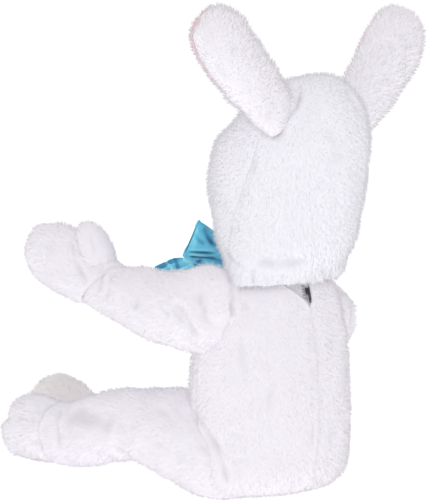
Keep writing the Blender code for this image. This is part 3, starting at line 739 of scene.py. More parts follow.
TRUNK_FOLDS = (
    # placket: the zip's line and the stitch line beside it, with a welt between them
    (-1.8, 2.2, (309, 305), (312, 333), (316, 367), (317, 387), (316, 417), (315, 450), (313, 468)),
    (-1.2, 2.0, (314, 298), (319, 333), (322, 370), (325, 392), (324, 410), (323, 438), (319, 457),
     (314, 470)),
    (0.8, 2.0, (312, 310), (316, 340), (319, 375), (320, 400), (319, 440), (316, 462)),
    # hip seam, and small gathers that run out of it
    (-3.0, 3.5, (187, 407), (195, 418), (205, 433), (215, 447), (220, 462), (225, 483), (220, 495)),
    (-1.3, 3.0, (226, 440), (236, 434), (247, 432)),
    (-1.2, 3.0, (228, 462), (241, 460), (253, 463)),
    # soft drops from the armhole to the hip
    (-1.5, 6.0, (236, 330), (243, 352), (246, 378)),
    (1.2, 7.0, (250, 325), (256, 350), (258, 380)),
    (-1.2, 6.0, (268, 350), (272, 385), (268, 420)),
    (1.0, 8.0, (286, 330), (290, 370), (288, 415)),
    (-1.6, 4.0, (240, 300), (250, 310), (262, 314)),
    (-1.3, 4.0, (334, 300), (337, 330), (336, 360)),
    (1.0, 6.0, (344, 310), (346, 345), (344, 380)),
)
trunk_outline = upright_form(TRUNK)
trunk_depth = depth_in_upright(TRUNK)
arm_left_depth = depth_in_limb(ARM_LEFT)
arm_right_depth = depth_in_limb(ARM_RIGHT)
leg_left_depth = depth_in_limb(LEG_LEFT)
leg_right_depth = depth_in_limb(LEG_RIGHT)
limb_depths = [arm_left_depth, arm_right_depth, leg_left_depth, leg_right_depth]


def mirrored_folds(points, normals, lines):
    """Folds as seen, and the same ones a little weaker on the sides that the camera doesn't
    see: mirrored to the far side, to the front, and to both, away from the middle."""
    flip = np.array([-1.0, 1.0, 1.0])
    turned = np.array([1.0, -1.0, 1.0])
    far = folds(points * flip, normals * flip, lines) * eased(-points[..., 0], 0.03, 0.06)
    front = folds(points * turned, normals * turned, lines) * eased(-points[..., 1], 0.03, 0.06)
    both = folds(points * turned * flip, normals * turned * flip, lines)
    both = both * eased(-points[..., 1], 0.03, 0.06) * eased(-points[..., 0], 0.03, 0.06)
    return folds(points, normals, lines) + 0.8 * far + 0.7 * (front + both)


def seam_dip(angle, seam, depth, width=0.06):
    """A panel is drawn in along the seam on either side, by a bell of the angle off it."""
    from_back = np.abs((angle + np.pi) % around - np.pi)
    return -depth * np.exp(-(((from_back - seam) / width) ** 2))


def trunk_relief(row, angle, points, normals):
    """The trunk's folds, its side seams and a soft unevenness."""
    dips = seam_dip(angle, np.radians(SIDE_SEAM), depth=0.0008) * eased(row, 0.5, 2.0)
    return mirrored_folds(points, normals, TRUNK_FOLDS) + dips + 0.0007 * lumps(points, 0.035, 11)


def combed(direction):
    """The pile lies along one direction, as far as the surface lets it."""
    def comb(points, normals):
        flow = np.broadcast_to(np.array(direction, float), points.shape)
        return flow - normals * (flow * normals).sum(axis=1, keepdims=True)
    return comb


def zip_edges(rows):
    """Angles of the left and right back panels' edges, which part above the slider."""
    height = smooth(TRUNK["height"], rows)
    low = np.clip((height - ZIP_PART_FROM) / (ZIP_OPEN_FROM - ZIP_PART_FROM), 0, 1)
    high = np.clip((height - ZIP_OPEN_FROM) / (TRUNK["height"][0] - ZIP_OPEN_FROM), 0, 1)
    right = ZIP_PART_WIDTH * low
    left = right + ZIP_OPEN_WIDTH * high
    wide = smooth(TRUNK["half_width"], rows)
    return np.arcsin(np.minimum(left / wide, 0.9)), np.arcsin(np.minimum(right / wide, 0.9))


trunk_rows = np.concatenate([
    np.linspace(0, 4, 20)[:-1], np.linspace(4, 9, 45)[:-1], np.linspace(9, trunk_outline.last, 40)
])
left_edge, right_edge = zip_edges(trunk_rows)
side_seam = np.radians(SIDE_SEAM)
down = combed((0, 0, -1))
for name, node, start, stop, seed, flat, area in (
    ("trunk_front", "body_front", side_seam, around - side_seam, 21, (0.28, 0.27), 0.068),
    ("trunk_back_left", "body_back_left", left_edge, side_seam, 22, (0.19, 0.27), 0.043),
    ("trunk_back_right", "body_back_right", -side_seam, -right_edge, 23, (0.19, 0.27), 0.043),
):
    panel, pile = plush(
        name, node, trunk_outline, trunk_rows, start, stop, limb_depths, trunk_relief, down,
        white_plush, seed=seed,
    )


# Sleeves, mittens and thumbs: tubes of white plush. The left arm is raised and held out in
# front, the right one is low. The mitten is sewn to the sleeve at the wrist, and its thumb
# is a short tube of its own that is set into the mitten.
THUMB_LEFT = table(
    "x y height across upright",
    (0.120, -0.190, 0.2460, 0.018, 0.022),
    (0.120, -0.199, 0.2650, 0.0215, 0.0280),
    (0.119, -0.213, 0.2815, 0.0220, 0.0290),
    (0.118, -0.2265, 0.2965, 0.0185, 0.0250),
    (0.117, -0.235, 0.3060, 0.011, 0.0155),
    (0.1165, -0.238, 0.3095, 0.004, 0.005),
)
THUMB_RIGHT = table(
    "x y height across upright",
    (-0.108, -0.192, 0.1860, 0.014, 0.014),
    (-0.104, -0.200, 0.2020, 0.019, 0.020),
    (-0.098, -0.210, 0.2160, 0.019, 0.020),
    (-0.092, -0.219, 0.2280, 0.016, 0.017),
    (-0.089, -0.225, 0.2350, 0.009, 0.009),
    (-0.088, -0.227, 0.2375, 0.003, 0.003),
)
WRIST_ROW = 6
SLEEVE_FOLDS = (
    # the broad lit fold that drops from the shoulder, and the deep pull beside it
    (2.6, 5.0, (168, 286), (178, 300), (188, 312), (199, 325), (212, 337), (222, 344)),
    (-3.6, 4.0, (176, 300), (182, 314), (188, 326), (197, 341)),
    (-2.2, 3.5, (197, 327), (206, 322), (214, 327)),
    (2.0, 5.0, (226, 268), (228, 290), (226, 312), (222, 330)),
    # hollows between them
    (-2.2, 5.5, (194, 290), (198, 298), (196, 304)),
    (-2.4, 5.0, (208, 305), (203, 314), (207, 321)),
    # creases of the forearm
    (-2.2, 2.6, (149, 268), (146, 276), (147, 284)),
    (1.3, 4.0, (154, 272), (152, 290), (150, 305)),
    (-2.4, 4.0, (137, 300), (133, 304), (131, 310)),
    (-1.4, 4.0, (119, 292), (122, 304), (122, 314)),
    (1.4, 5.0, (160, 288), (163, 300), (166, 312)),
    # small ruffles along the lower edge
    (-2.2, 2.6, (155, 300), (162, 309), (168, 318)),
    (1.6, 2.6, (160, 298), (168, 308), (175, 320)),
    (-2.2, 2.4, (168, 306), (175, 315), (181, 327)),
    (-1.6, 2.2, (143, 305), (149, 312), (153, 320)),
    (-1.5, 2.4, (183, 335), (189, 343), (193, 350)),
    (1.3, 2.4, (176, 322), (181, 331), (186, 341)),
    (-1.4, 2.2, (128, 315), (136, 320), (142, 328)),
    # armhole: drawn in along the seam, deepest at three places
    (-2.6, 3.0, (232, 262), (235, 280), (235, 296), (235, 312), (230, 328), (227, 350)),
    (-2.2, 2.4, (233, 304), (235, 310), (234, 317)),
    (-2.2, 2.4, (229, 332), (227, 340), (226, 348)),
)
MITTEN_FOLDS = (
    (-3.0, 3.0, (69, 234), (72, 248), (75, 262), (80, 275), (87, 287)),
    (-1.4, 4.0, (63, 238), (66, 252), (70, 265)),
    (2.0, 4.0, (78, 226), (81, 240), (84, 256), (90, 272)),
    (-1.5, 3.0, (87, 228), (90, 240), (93, 252), (96, 258)),
    (-1.6, 5.0, (42, 240), (46, 250), (45, 262)),
    (1.5, 8.0, (50, 275), (60, 285), (72, 292)),
    (-1.4, 4.0, (104, 250), (100, 262), (97, 274)),
    (1.2, 4.0, (110, 240), (108, 250), (106, 258)),
)
CUFF_FOLDS = (
    (-2.6, 1.8, (92, 296), (97, 289), (100, 279), (104, 271), (109, 264), (117, 261)),
    (1.6, 2.2, (96, 300), (101, 291), (104, 281), (108, 273), (114, 267), (122, 265)),
    (-1.6, 1.8, (101, 302), (105, 292), (108, 282), (112, 274), (118, 269)),
)


def limb_relief(outline, like, lines, seams, seed, size=0.0009):
    """Folds of a limb. The side that the camera sees has them as seen, and its hidden side
    repeats them turned round the limb. like gives another limb whose folds this one takes,
    mirrored. At each seam's row the tube is drawn in. size is the height of a soft
    unevenness."""
    def relief(row, angle, points, normals):
        model = like or outline
        turned = np.pi - angle
        here, there = (angle, turned) if like is None else (turned, angle)
        total = np.zeros(row.shape)
        for part, strength in ((here, 1.0), (there, 0.75)):
            total += strength * folds(model(row, part), outward(model, row, part), lines)
        for seam, depth, width in seams:
            total -= depth * np.exp(-(((row - seam) / width) ** 2))
        return total + size * lumps(points, 0.03, seed)
    return relief


def along_limb(shape, falls=0.3):
    """The pile lies towards the limb's end, and falls a little."""
    rows = np.linspace(0, len(shape["x"]) - 1, 60)
    centre, along, side, up = limb_frame(shape, rows)

    def comb(points, normals):
        nearest = ((points[:, None] - centre[None]) ** 2).sum(axis=2).argmin(axis=1)
        flow = along[nearest] - (0, 0, falls)
        return flow - normals * (flow * normals).sum(axis=1, keepdims=True)
    return comb


def rows_of(shape, first, last):
    """Places of rings from one row of a limb's table to another, about one cell apart."""
    fine = np.linspace(first, last, 400)
    line = np.stack([smooth(shape[name], fine) for name in ("x", "y", "height")], axis=1)
    size = np.maximum(smooth(shape["across"], fine), smooth(shape["upright"], fine))
    steps = np.hypot(np.linalg.norm(np.diff(line, axis=0), axis=1), np.diff(size))
    travelled = np.concatenate([[0], np.cumsum(steps)])
    count = max(int(travelled[-1] / CELL), 4) + 1
    return np.interp(np.linspace(0, travelled[-1], count), travelled, fine)


def under_the_arm(points):
    """Deep, for the cutting, where the left sleeve's first rings lie over one another: in
    a box under and behind the armhole."""
    top, front, middle, half_width = -0.085, -0.034, 0.054, 0.0545
    across = np.abs(points[:, 0] - middle)
    inside = (points[:, 2] < top) & (points[:, 1] > front) & (across < half_width)
    return np.where(inside, 1.0, 0.0)


arm_left = limb_form(ARM_LEFT)
arm_right = limb_form(ARM_RIGHT)
arm_folds = SLEEVE_FOLDS + MITTEN_FOLDS + CUFF_FOLDS
wrist_seam = (WRIST_ROW, 0.0016, 0.10)  # its row, its depth and its width in rows
for side, shape, outline, like, thumb in (
    ("left", ARM_LEFT, arm_left, None, THUMB_LEFT),
    ("right", ARM_RIGHT, arm_right, arm_left, THUMB_RIGHT),
):
    relief = limb_relief(outline, like, arm_folds, [wrist_seam], seed=31)
    sleeve, pile = plush(
        "sleeve_cloth_" + side, "sleeve_" + side, outline, rows_of(shape, 0.4, WRIST_ROW + 0.03), 0.0, around,
        [trunk_depth, under_the_arm], relief, along_limb(shape), white_plush, wrap=True, seed=32,
    )
    mitten_rows = rows_of(shape, WRIST_ROW - 0.03, outline.last)
    mitten, pile = plush(
        "mitten_cloth_" + side, "mitten_" + side, outline, mitten_rows, 0.0, around,
        [depth_in_limb(thumb)], relief, along_limb(shape), white_plush, wrap=True, tip=True, seed=33,
    )

for side, shape, arm_depth, lines in (
    ("left", THUMB_LEFT, arm_left_depth, MITTEN_FOLDS),
    ("right", THUMB_RIGHT, arm_right_depth, ()),
):
    outline = limb_form(shape)
    relief = limb_relief(outline, None, lines, [], seed=34, size=0.0005)
    thumb, pile = plush(
        "thumb_cloth_" + side, "mitten_thumb_" + side, outline, rows_of(shape, 0, outline.last), 0.0, around,
        [arm_depth], relief, along_limb(shape, falls=0.0), white_plush, wrap=True, tip=True, seed=35,
    )


# Legs and feet: tubes of white plush that lie on the floor, sewn to the feet at the ankles.
# Each paw stands up on its heel, and a stitched cleft in its end leaves two toes.
ANKLE_ROW = 8
LEG_FOLDS = (
    # knee: short folds behind it, over the hollow of the lower leg
    (-2.4, 3.0, (104, 446), (112, 450), (121, 455), (131, 461)),
    (1.8, 3.0, (106, 452), (117, 457), (130, 466)),
    (-2.0, 2.6, (105, 458), (115, 463), (126, 469)),
    (-1.6, 3.0, (134, 452), (142, 460), (147, 470)),
    (-4.5, 13.0, (60, 410), (78, 416), (96, 421), (112, 428)),
    (2.2, 8.0, (66, 396), (90, 397), (118, 402)),
    (1.8, 9.0, (70, 440), (90, 446), (112, 440)),
    (-2.6, 2.6, (58, 404), (55, 418), (54, 432), (56, 446), (58, 456)),
    (-1.3, 3.0, (66, 440), (74, 448), (84, 452)),
    # thigh: long shallow drags from the hip
    (-1.8, 6.0, (150, 404), (164, 412), (176, 424)),
    (1.5, 7.0, (140, 420), (158, 428), (174, 440)),
    (-1.6, 5.0, (150, 440), (166, 450), (182, 462)),
    (-1.5, 5.0, (170, 400), (180, 416), (190, 432)),
    (-3.0, 3.2, (187, 407), (195, 418), (205, 433), (215, 447), (220, 462), (225, 483), (220, 495)),
    (-1.7, 2.6, (192, 440), (202, 447), (211, 456)),
    (-1.6, 2.6, (196, 460), (206, 465), (217, 470)),
    (1.4, 3.0, (194, 452), (204, 457), (214, 463)),
    (-1.5, 4.0, (116, 480), (136, 486), (158, 490)),
)
FOOT_FOLDS = (
    (-2.0, 2.0, (30, 419), (34, 420), (38, 421)),
    (-1.8, 2.4, (13, 417), (20, 418), (28, 419), (35, 420)),
    (-1.6, 3.5, (40, 396), (38, 408), (42, 418)),
    (1.3, 4.0, (28, 398), (26, 406), (24, 412)),
    (-1.4, 4.0, (26, 440), (34, 446), (44, 450)),
)
leg_left = limb_form(LEG_LEFT, toes=True)
leg_right = limb_form(LEG_RIGHT, toes=True)
leg_folds = LEG_FOLDS + FOOT_FOLDS
ankle_seam = (ANKLE_ROW, 0.0018, 0.12)  # its row, its depth and its width in rows
# the right foot's pile is a little greyer and warmer in tone than the rest
greyed_plush = (
    plush_finish("greyed_plush", (0.90, 0.86, 0.845), (0.83, 0.79, 0.775)),
    pile_finish("greyed_pile", (0.91, 0.87, 0.855), (0.85, 0.81, 0.795)),
)
for side, shape, outline, like, foot_plush in (
    ("left", LEG_LEFT, leg_left, None, white_plush),
    ("right", LEG_RIGHT, leg_right, leg_left, greyed_plush),
):
    relief = limb_relief(outline, like, leg_folds, [ankle_seam], seed=41)
    leg, pile = plush(
        "leg_cloth_" + side, "leg_" + side, outline, rows_of(shape, 0.2, ANKLE_ROW + 0.04), 0.0, around,
        [trunk_depth], relief, along_limb(shape, falls=0.5), white_plush, wrap=True, seed=42,
    )
    foot_rows = rows_of(shape, ANKLE_ROW - 0.04, outline.last)
    foot, pile = plush(
        "foot_cloth_" + side, "foot_" + side, outline, foot_rows, 0.0, around,
        [], relief, along_limb(shape, falls=0.2), foot_plush, length=0.0070, wrap=True, tip=True, seed=43,
    )


# Hood: a broad back panel and two side panels of white plush, sewn from the hem to the
# crown, with one round opening for the face. Its hem lies loosely on the trunk.
HOOD = table(
    "height half_width front back seam",
    (0.2650, 0.0820, -0.068, 0.053, 108),
    (0.2800, 0.0840, -0.071, 0.067, 105),
    (0.3000, 0.0845, -0.084, 0.078, 100),
    (0.3250, 0.0855, -0.094, 0.085, 94),
    (0.3550, 0.0880, -0.100, 0.092, 84),
    (0.3850, 0.0895, -0.101, 0.098, 77),
    (0.4070, 0.0880, -0.091, 0.100, 75),
    (0.4270, 0.0840, -0.075, 0.100, 74),
    (0.4470, 0.0745, -0.049, 0.097, 73),
    (0.4670, 0.0590, -0.022, 0.090, 71),
    (0.4820, 0.0410, 0.002, 0.079, 69),
    (0.4910, 0.0220, 0.023, 0.065, 67),
    (0.4940, 0.0020, 0.043, 0.047, 66),
)
FACE = table(
    "height half_width",
    (0.2920, 0.0100),
    (0.2950, 0.0300),
    (0.3070, 0.0460),
    (0.3300, 0.0550),
    (0.3600, 0.0570),
    (0.3900, 0.0520),
    (0.4100, 0.0400),
    (0.4210, 0.0240),
    (0.4240, 0.0080),
)
HEM_HEIGHT = 0.2485
HEM_OVER = 0.0062  # the hem's outline outside the trunk's
HEM_GATHERS = 23  # all round
GATHER_DEPTH = 0.0014
HOOD_FOLDS = (
    # the hollow where the neck is, and the dimple at the back of the head
    (-3.2, 7.0, (250, 262), (272, 266), (296, 266), (322, 263)),
    (1.2, 5.0, (252, 274), (285, 278), (320, 276)),
    (-1.8, 9.0, (286, 160), (297, 166), (306, 172)),
    (1.0, 12.0, (270, 190), (290, 205), (315, 205)),
    # where the ears are sewn on
    (-3.6, 2.8, (298, 76), (300, 90), (296, 106), (283, 121), (268, 132), (256, 138)),
    (1.6, 4.0, (306, 86), (306, 100), (298, 116), (284, 130)),
    (-1.8, 4.0, (346, 82), (352, 94), (360, 106), (368, 120)),
    # side seam
    (-1.0, 3.0, (252, 132), (254, 150), (253, 166), (249, 176), (241, 198), (235, 220), (231, 248)),
    (-1.2, 4.0, (253, 160), (251, 167), (248, 175)),
    (1.0, 5.0, (262, 140), (260, 165), (252, 190), (246, 215), (240, 244)),
    # pulled folds beside the shoulder
    (-2.4, 4.0, (219, 252), (226, 258), (234, 264), (243, 272)),
    (1.4, 4.0, (224, 244), (234, 254), (246, 264)),
    (-1.4, 5.0, (222, 205), (226, 222), (229, 238)),
    # gathers at the hem
    (-2.6, 2.2, (250, 270), (252, 278), (253, 287)),
    (-2.0, 2.2, (260, 272), (261, 280), (262, 288)),
    (-2.4, 2.2, (267, 274), (269, 281), (270, 288)),
    (-1.6, 2.4, (284, 274), (284, 282), (285, 288)),
    (-2.2, 2.2, (326, 270), (327, 278), (328, 286)),
    (-2.0, 2.2, (334, 270), (335, 278), (335, 286)),
    (-1.4, 6.0, (325, 120), (336, 140), (342, 165)),
    (-1.4, 6.0, (344, 225), (340, 240), (336, 252)),
)


def with_hem(shape):
    """The hood's rows with one more at its hem: the trunk's ring there, moved out."""
    rows = np.linspace(0, trunk_outline.last, 2001)
    row = rows[[np.abs(smooth(TRUNK["height"], rows) - HEM_HEIGHT).argmin()]]
    hem = {name: smooth(TRUNK[name], row)[0] for name in TRUNK}
    hem["half_width"] += HEM_OVER
    hem["front"] -= HEM_OVER
    hem["back"] += HEM_OVER
    hem["seam"] = shape["seam"][0]
    return {name: np.insert(shape[name], 0, hem[name]) for name in shape}


HOOD = with_hem(HOOD)
hood_outline = upright_form(HOOD)
hood_depth = depth_in_upright(HOOD)


def hood_relief(row, angle, points, normals):
    """The hood's folds and a soft unevenness, which end at the crown, its seams, and small
    gathers at its hem: the upper halves of uneven waves round it."""
    under_crown = hood_outline.last - row
    shaped = mirrored_folds(points, normals, HOOD_FOLDS) + 0.0009 * lumps(points, 0.04, 51)
    seam = np.radians(smooth(HOOD["seam"], row))
    dips = seam_dip(angle, seam, depth=0.0006) * eased(under_crown, 0.3, 2.0)
    waves = np.maximum(np.sin(angle * HEM_GATHERS + 2 * np.sin(angle * 5)), 0)
    gathers = -GATHER_DEPTH * waves * eased(0.8 - row, 0.0, 0.8)
    return shaped * eased(under_crown, 0.0, 1.2) + dips + gathers


def face_edge(rows):
    """Angle of the face opening's edge: where the ring is as wide as the opening is at
    that height, and the centre front above and below it."""
    height = smooth(HOOD["height"], rows)
    places = np.linspace(0, len(FACE["height"]) - 1, 400)
    face_height, face_width = (smooth(FACE[column], places) for column in ("height", "half_width"))
    opening = np.interp(height, face_height, face_width, left=0, right=0)
    return np.pi - np.arcsin(np.clip(opening / smooth(HOOD["half_width"], rows), 0, 1))


hood_rows = np.concatenate([np.linspace(0, 8, 62)[:-1], np.linspace(8, hood_outline.last, 32)])
hood_seam = np.radians(smooth(HOOD["seam"], hood_rows))
edge = face_edge(hood_rows)
# the hood's plush is a little cooler in tone than the rest
cool_plush = (
    plush_finish("cool_plush", (0.925, 0.915, 0.955), (0.885, 0.870, 0.915)),
    pile_finish("cool_pile", (0.935, 0.925, 0.965), (0.900, 0.885, 0.930)),
)
for name, node, start, stop, seed, flat, area in (
    ("hood_back_cloth", "hood_back", -hood_seam, hood_seam, 52, (0.30, 0.30), 0.061),
    ("hood_side_cloth_left", "hood_side_left", hood_seam, edge, 53, (0.20, 0.28), 0.031),
    ("hood_side_cloth_right", "hood_side_right", -edge, -hood_seam, 54, (0.20, 0.28), 0.031),
):
    panel, pile = plush(
        name, node, hood_outline, hood_rows, start, stop, [], hood_relief, combed((0, 0.1, -1)),
        cool_plush, length=0.0070, seed=seed,
    )


# Ears: two long stuffed ears of white plush that stand on the hood and lean apart. Each has
# a pink front, sewn on along the ear's edge, which shows from behind as a pink rim.
EAR = table(
    "x y height across thick",
    (0.053, 0.046, 0.436, 0.029, 0.016),
    (0.069, 0.045, 0.454, 0.0355, 0.021),
    (0.093, 0.041, 0.478, 0.038, 0.025),
    (0.115, 0.037, 0.503, 0.041, 0.027),
    (0.134, 0.033, 0.527, 0.0425, 0.027),
    (0.149, 0.030, 0.545, 0.038, 0.023),
    (0.158, 0.028, 0.557, 0.027, 0.016),
    (0.1620, 0.027, 0.562, 0.009, 0.006),
)
EAR_TURN = 14.0  # degrees that the fronts turn outwards
EAR_RIGHT_SPLAY = 0.11  # the right ear leans this much further out for its height
EAR_FRONT_FROM = 2.4  # row where the pink front starts
FRONT_LIFT = 0.0012
EAR_FOLDS = (
    (-1.6, 5.0, (232, 36), (236, 44), (240, 52)),
    (-1.4, 6.0, (212, 62), (222, 74), (232, 84)),
    (1.0, 8.0, (226, 30), (246, 56), (266, 84)),
    (-1.8, 3.0, (391, 40), (393, 46), (396, 52)),
    (-1.2, 6.0, (372, 70), (366, 84), (360, 98)),
    (-1.5, 5.0, (255, 112), (266, 118), (276, 116)),
)


def ear_form(right):
    """A stuffed ear: ellipses round its centre line, the broad side turned a little out.
    The right ear mirrors the left one and leans further out the higher it is."""
    def outline(row, angle):
        def centre(at):
            line = [smooth(EAR["x"], at), smooth(EAR["y"], at), smooth(EAR["height"], at) - SEAT]
            return np.stack(line, axis=-1)
        step = 0.05
        along = unit(centre(np.minimum(row + step, outline.last)) - centre(np.maximum(row - step, 0)))
        turn = np.radians(EAR_TURN)
        side = unit(np.cross(along, (-np.sin(turn), np.cos(turn), 0.0)))
        back = np.cross(side, along)
        across = (smooth(EAR["across"], row) * np.cos(angle))[..., None]
        thick = (smooth(EAR["thick"], row) * np.sin(angle))[..., None]
        points = centre(row) + side * across + back * thick
        if right:
            points = points * (-1.0, 1.0, 1.0)
            points[..., 0] -= np.maximum(points[..., 2] - EAR["height"][1] + SEAT, 0) * EAR_RIGHT_SPLAY
        return points
    outline.last = len(EAR["height"]) - 1
    return outline


def ear_relief(row, angle, points, normals):
    """The ear's folds and a soft unevenness, which end at its tip."""
    shaped = folds(points, normals, EAR_FOLDS) + 0.0009 * lumps(points, 0.035, 61)
    return shaped * eased(len(EAR["height"]) - 1 - row, 0.0, 0.8)


def front_edge(row):
    """How far the pink front's sides stay off the ear's sides, in radians round the ear.
    The front widens at the tip, where it shows from behind, and its lower end is round."""
    side, wider_at_tip, at_lower_end = 0.50, 0.40, 1.04
    low = 1 - np.clip((row - EAR_FRONT_FROM) / 0.9, 0, 1)
    return side - wider_at_tip * eased(row, 5.6, 6.6) + at_lower_end * (1 - np.sqrt(1 - low**2))


def under_front(row, angle):
    """Where the pink front covers the ear, which has no pile of its own there."""
    return (row > EAR_FRONT_FROM) & (np.sin(angle) < -np.sin(front_edge(row) + 0.03))


pink_plush = (
    plush_finish("pink_plush", (0.87, 0.64, 0.66), (0.80, 0.55, 0.58)),
    pile_finish("pink_pile", (0.90, 0.68, 0.70), (0.84, 0.60, 0.63)),
)
ear_rows = np.concatenate([np.linspace(0.2, 5.5, 38)[:-1], np.linspace(5.5, 7, 16)])
front_rows = ear_rows[ear_rows > EAR_FRONT_FROM]
for side in ("left", "right"):
    outline = ear_form(side == "right")
    away = (0.62, 0.0, 0.78) if side == "left" else (-0.68, 0.0, 0.74)
    ear, pile = plush(
        "ear_cloth_" + side, "ear_" + side, outline, ear_rows, 0.0, around, [hood_depth], ear_relief,
        combed(away), white_plush, length=0.0080, wrap=True, tip=True, seed=62, bare=under_front,
    )
    front, pink_pile = plush(
        "ear_front_cloth_" + side, "ear_front_" + side, outline, front_rows,
        np.pi + front_edge(front_rows), around - front_edge(front_rows), [],
        ear_relief, combed(away), pink_plush, length=0.0052, seed=63, above=FRONT_LIFT,
    )


# Bow: blue satin at the throat, tied of one ribbon. Two loops stand up at the sides, two
# tails hang forwards, and a knot holds them against the hood's chin.
BOW_LOOP = table(
    "x y height across upright",
    (0.0130, -0.0785, 0.271, 0.0050, 0.009),
    (0.0260, -0.0850, 0.276, 0.0090, 0.016),
    (0.0425, -0.0895, 0.283, 0.0110, 0.0215),
    (0.0580, -0.0915, 0.2915, 0.0090, 0.0240),
    (0.0680, -0.0920, 0.2970, 0.0045, 0.0245),
    (0.0705, -0.0920, 0.2985, 0.0015, 0.0235),
)
BOW_TAIL = table(
    "x y height across",
    (0.0125, -0.0805, 0.2610, 0.006),
    (0.0240, -0.1020, 0.2600, 0.009),
    (0.0400, -0.1230, 0.2590, 0.013),
    (0.0560, -0.1420, 0.2570, 0.0150),
    (0.0710, -0.1550, 0.2525, 0.0115),
)
TAIL_LEAN = np.array([-0.45, -0.30, 0.84])
KNOT = np.array([0.0, -0.0770, 0.267 - SEAT])
KNOT_HALF = np.array([0.0100, 0.0078, 0.0117])
LOOP_PLEATS = 8
LOOP_PLEAT_DEPTH = 0.0011
SATIN = 0.0006  # the ribbon's thickness
BOW_FOLDS = (
    # gather pleats of the loop, one over another
    (1.6, 1.3, (186, 249), (200, 250), (218, 251)),
    (-2.4, 0.9, (187, 252), (200, 253), (218, 253)),
    (1.6, 1.1, (188, 254), (202, 255), (219, 256)),
    (-2.4, 0.9, (188, 257), (202, 258), (219, 259)),
    (-1.6, 2.6, (204, 226), (209, 236), (214, 246)),
    (1.4, 3.0, (197, 226), (196, 240), (193, 248)),
    (-1.2, 2.4, (194, 232), (199, 240), (207, 245)),
    # facets of the tail
    (-2.6, 1.6, (174, 258), (177, 263), (179, 270)),
    (2.0, 1.8, (165, 261), (170, 266), (174, 271)),
    (-2.0, 1.4, (158, 268), (168, 264), (174, 261)),
    (2.2, 2.2, (182, 258), (190, 263), (196, 268)),
    (-2.0, 1.8, (186, 270), (194, 266), (204, 259)),
    (1.5, 1.8, (176, 272), (186, 268), (192, 266)),
)

blue_satin = new_finish("blue_satin", Roughness=0.22, Specular_IOR_Level=1.0, Sheen_Weight=0.10)
tree = blue_satin.node_tree
join = tree.links.new
shader = tree.nodes["Principled BSDF"]
place = tree.nodes.new("ShaderNodeTexCoord")
threads = add_node(tree, "ShaderNodeTexWave", Scale=900.0, Distortion=1.0)
patches = add_node(tree, "ShaderNodeTexNoise", Scale=90.0)
blend = add_node(tree, "ShaderNodeMix", A=(0.080, 0.54, 0.77, 1.0), B=(0.140, 0.67, 0.88, 1.0))
bump = add_node(tree, "ShaderNodeBump", Strength=0.15, Distance=0.0001)
join(place.outputs["Object"], threads.inputs["Vector"])
join(place.outputs["Object"], patches.inputs["Vector"])
join(patches.outputs["Fac"], blend.inputs["Factor"])
# painted shade makes the satin deep blue in its pleats, and a painted highlight makes it pale where it stands
# out over a fold
colour = blend.outputs["Result"]
for mark_name, tone in (("pleat_shade", (0.008, 0.10, 0.27, 1.0)), ("ridge_highlight", (0.30, 0.84, 0.97, 1.0))):
    over = add_node(tree, "ShaderNodeMix", B=tone)
    join(read_mark(tree, mark_name).outputs["Fac"], over.inputs["Factor"])
    join(colour, over.inputs["A"])
    colour = over.outputs["Result"]
join(colour, shader.inputs["Base Color"])
join(threads.outputs["Fac"], bump.inputs["Height"])
join(bump.outputs["Normal"], shader.inputs["Normal"])


def crossed(rows, columns):
    """The two parameters of a grid: one runs down its rows, the other along its columns."""
    return np.meshgrid(rows, columns, indexing="ij")


def angles_round(count):
    """Even angles once round, without the first one again at the end."""
    return np.linspace(0, around, count, endpoint=False)


def thin(name, node, points, normals, wrap, finish, thickness):
    """A thin sheet from a grid of points, with its faces along the normals."""
    flat_points, flat_normals = points.reshape(-1, 3), normals.reshape(-1, 3)
    faces = turned_out(flat_points, flat_normals, grid_faces(*points.shape[:2], wrap))
    piece = put_in_mesh(name, flat_points, faces, finish)
    give_wall(piece, thickness)
    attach(piece, "costume")
    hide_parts(node)
    return piece


def loop_points(row, angle, right):
    """A puffed loop: the limb's ellipses, with pleats that run out from the knot and fade
    towards the loop's edge, and the folds that the camera sees."""
    outline = limb_form(BOW_LOOP)
    points = outline(row, angle)
    normals = outward(outline, row, angle)
    pleats = LOOP_PLEAT_DEPTH * np.sin(LOOP_PLEATS * angle + 0.6 * row) * eased(outline.last - row, 0.5, 4.5)
    rise = pleats + folds(points, normals, BOW_FOLDS)
    points = points + normals * (rise - SATIN)[..., None]
    flip = (-1.0, 1.0, 1.0) if right else (1.0, 1.0, 1.0)
    return points * flip, normals * flip, rise


def tail_points(row, share, right):
    """A flat tail: a strip across its centre line that widens to its end, waved along its
    width and creased where the camera sees facets."""
    line = [smooth(BOW_TAIL["x"], row), smooth(BOW_TAIL["y"], row), smooth(BOW_TAIL["height"], row) - SEAT]
    half = smooth(BOW_TAIL["across"], row)[..., None]
    points = np.stack(line, axis=-1) + half * share[..., None] * TAIL_LEAN
    points[..., 1] += 0.002 * np.cos(2 * np.pi * share) + 0.0012 * np.sin(3 * np.pi * share + 1.2 * row)
    normals = unit(np.cross(np.gradient(points, axis=0), np.gradient(points, axis=1)))
    normals = normals * np.sign((normals @ to_camera).sum())
    rise = folds(points, normals, BOW_FOLDS) + 0.0004 * np.sin(3 * np.pi * share + 1.2 * row)
    points = points + normals * rise[..., None]
    flip = (-1.0, 1.0, 1.0) if right else (1.0, 1.0, 1.0)
    return points * flip, normals * flip, rise


def mark_satin(piece, rise, pleat_shade, ridge_highlight):
    """Marks painted shade in the pleats and a painted highlight on the ridges of a piece, by how far its
    folds lie in or stand out.
    pleat_shade and ridge_highlight are the depth and the height that count in full."""
    mark(piece, "pleat_shade", -rise.reshape(-1) / pleat_shade)
    mark(piece, "ridge_highlight", rise.reshape(-1) / ridge_highlight)


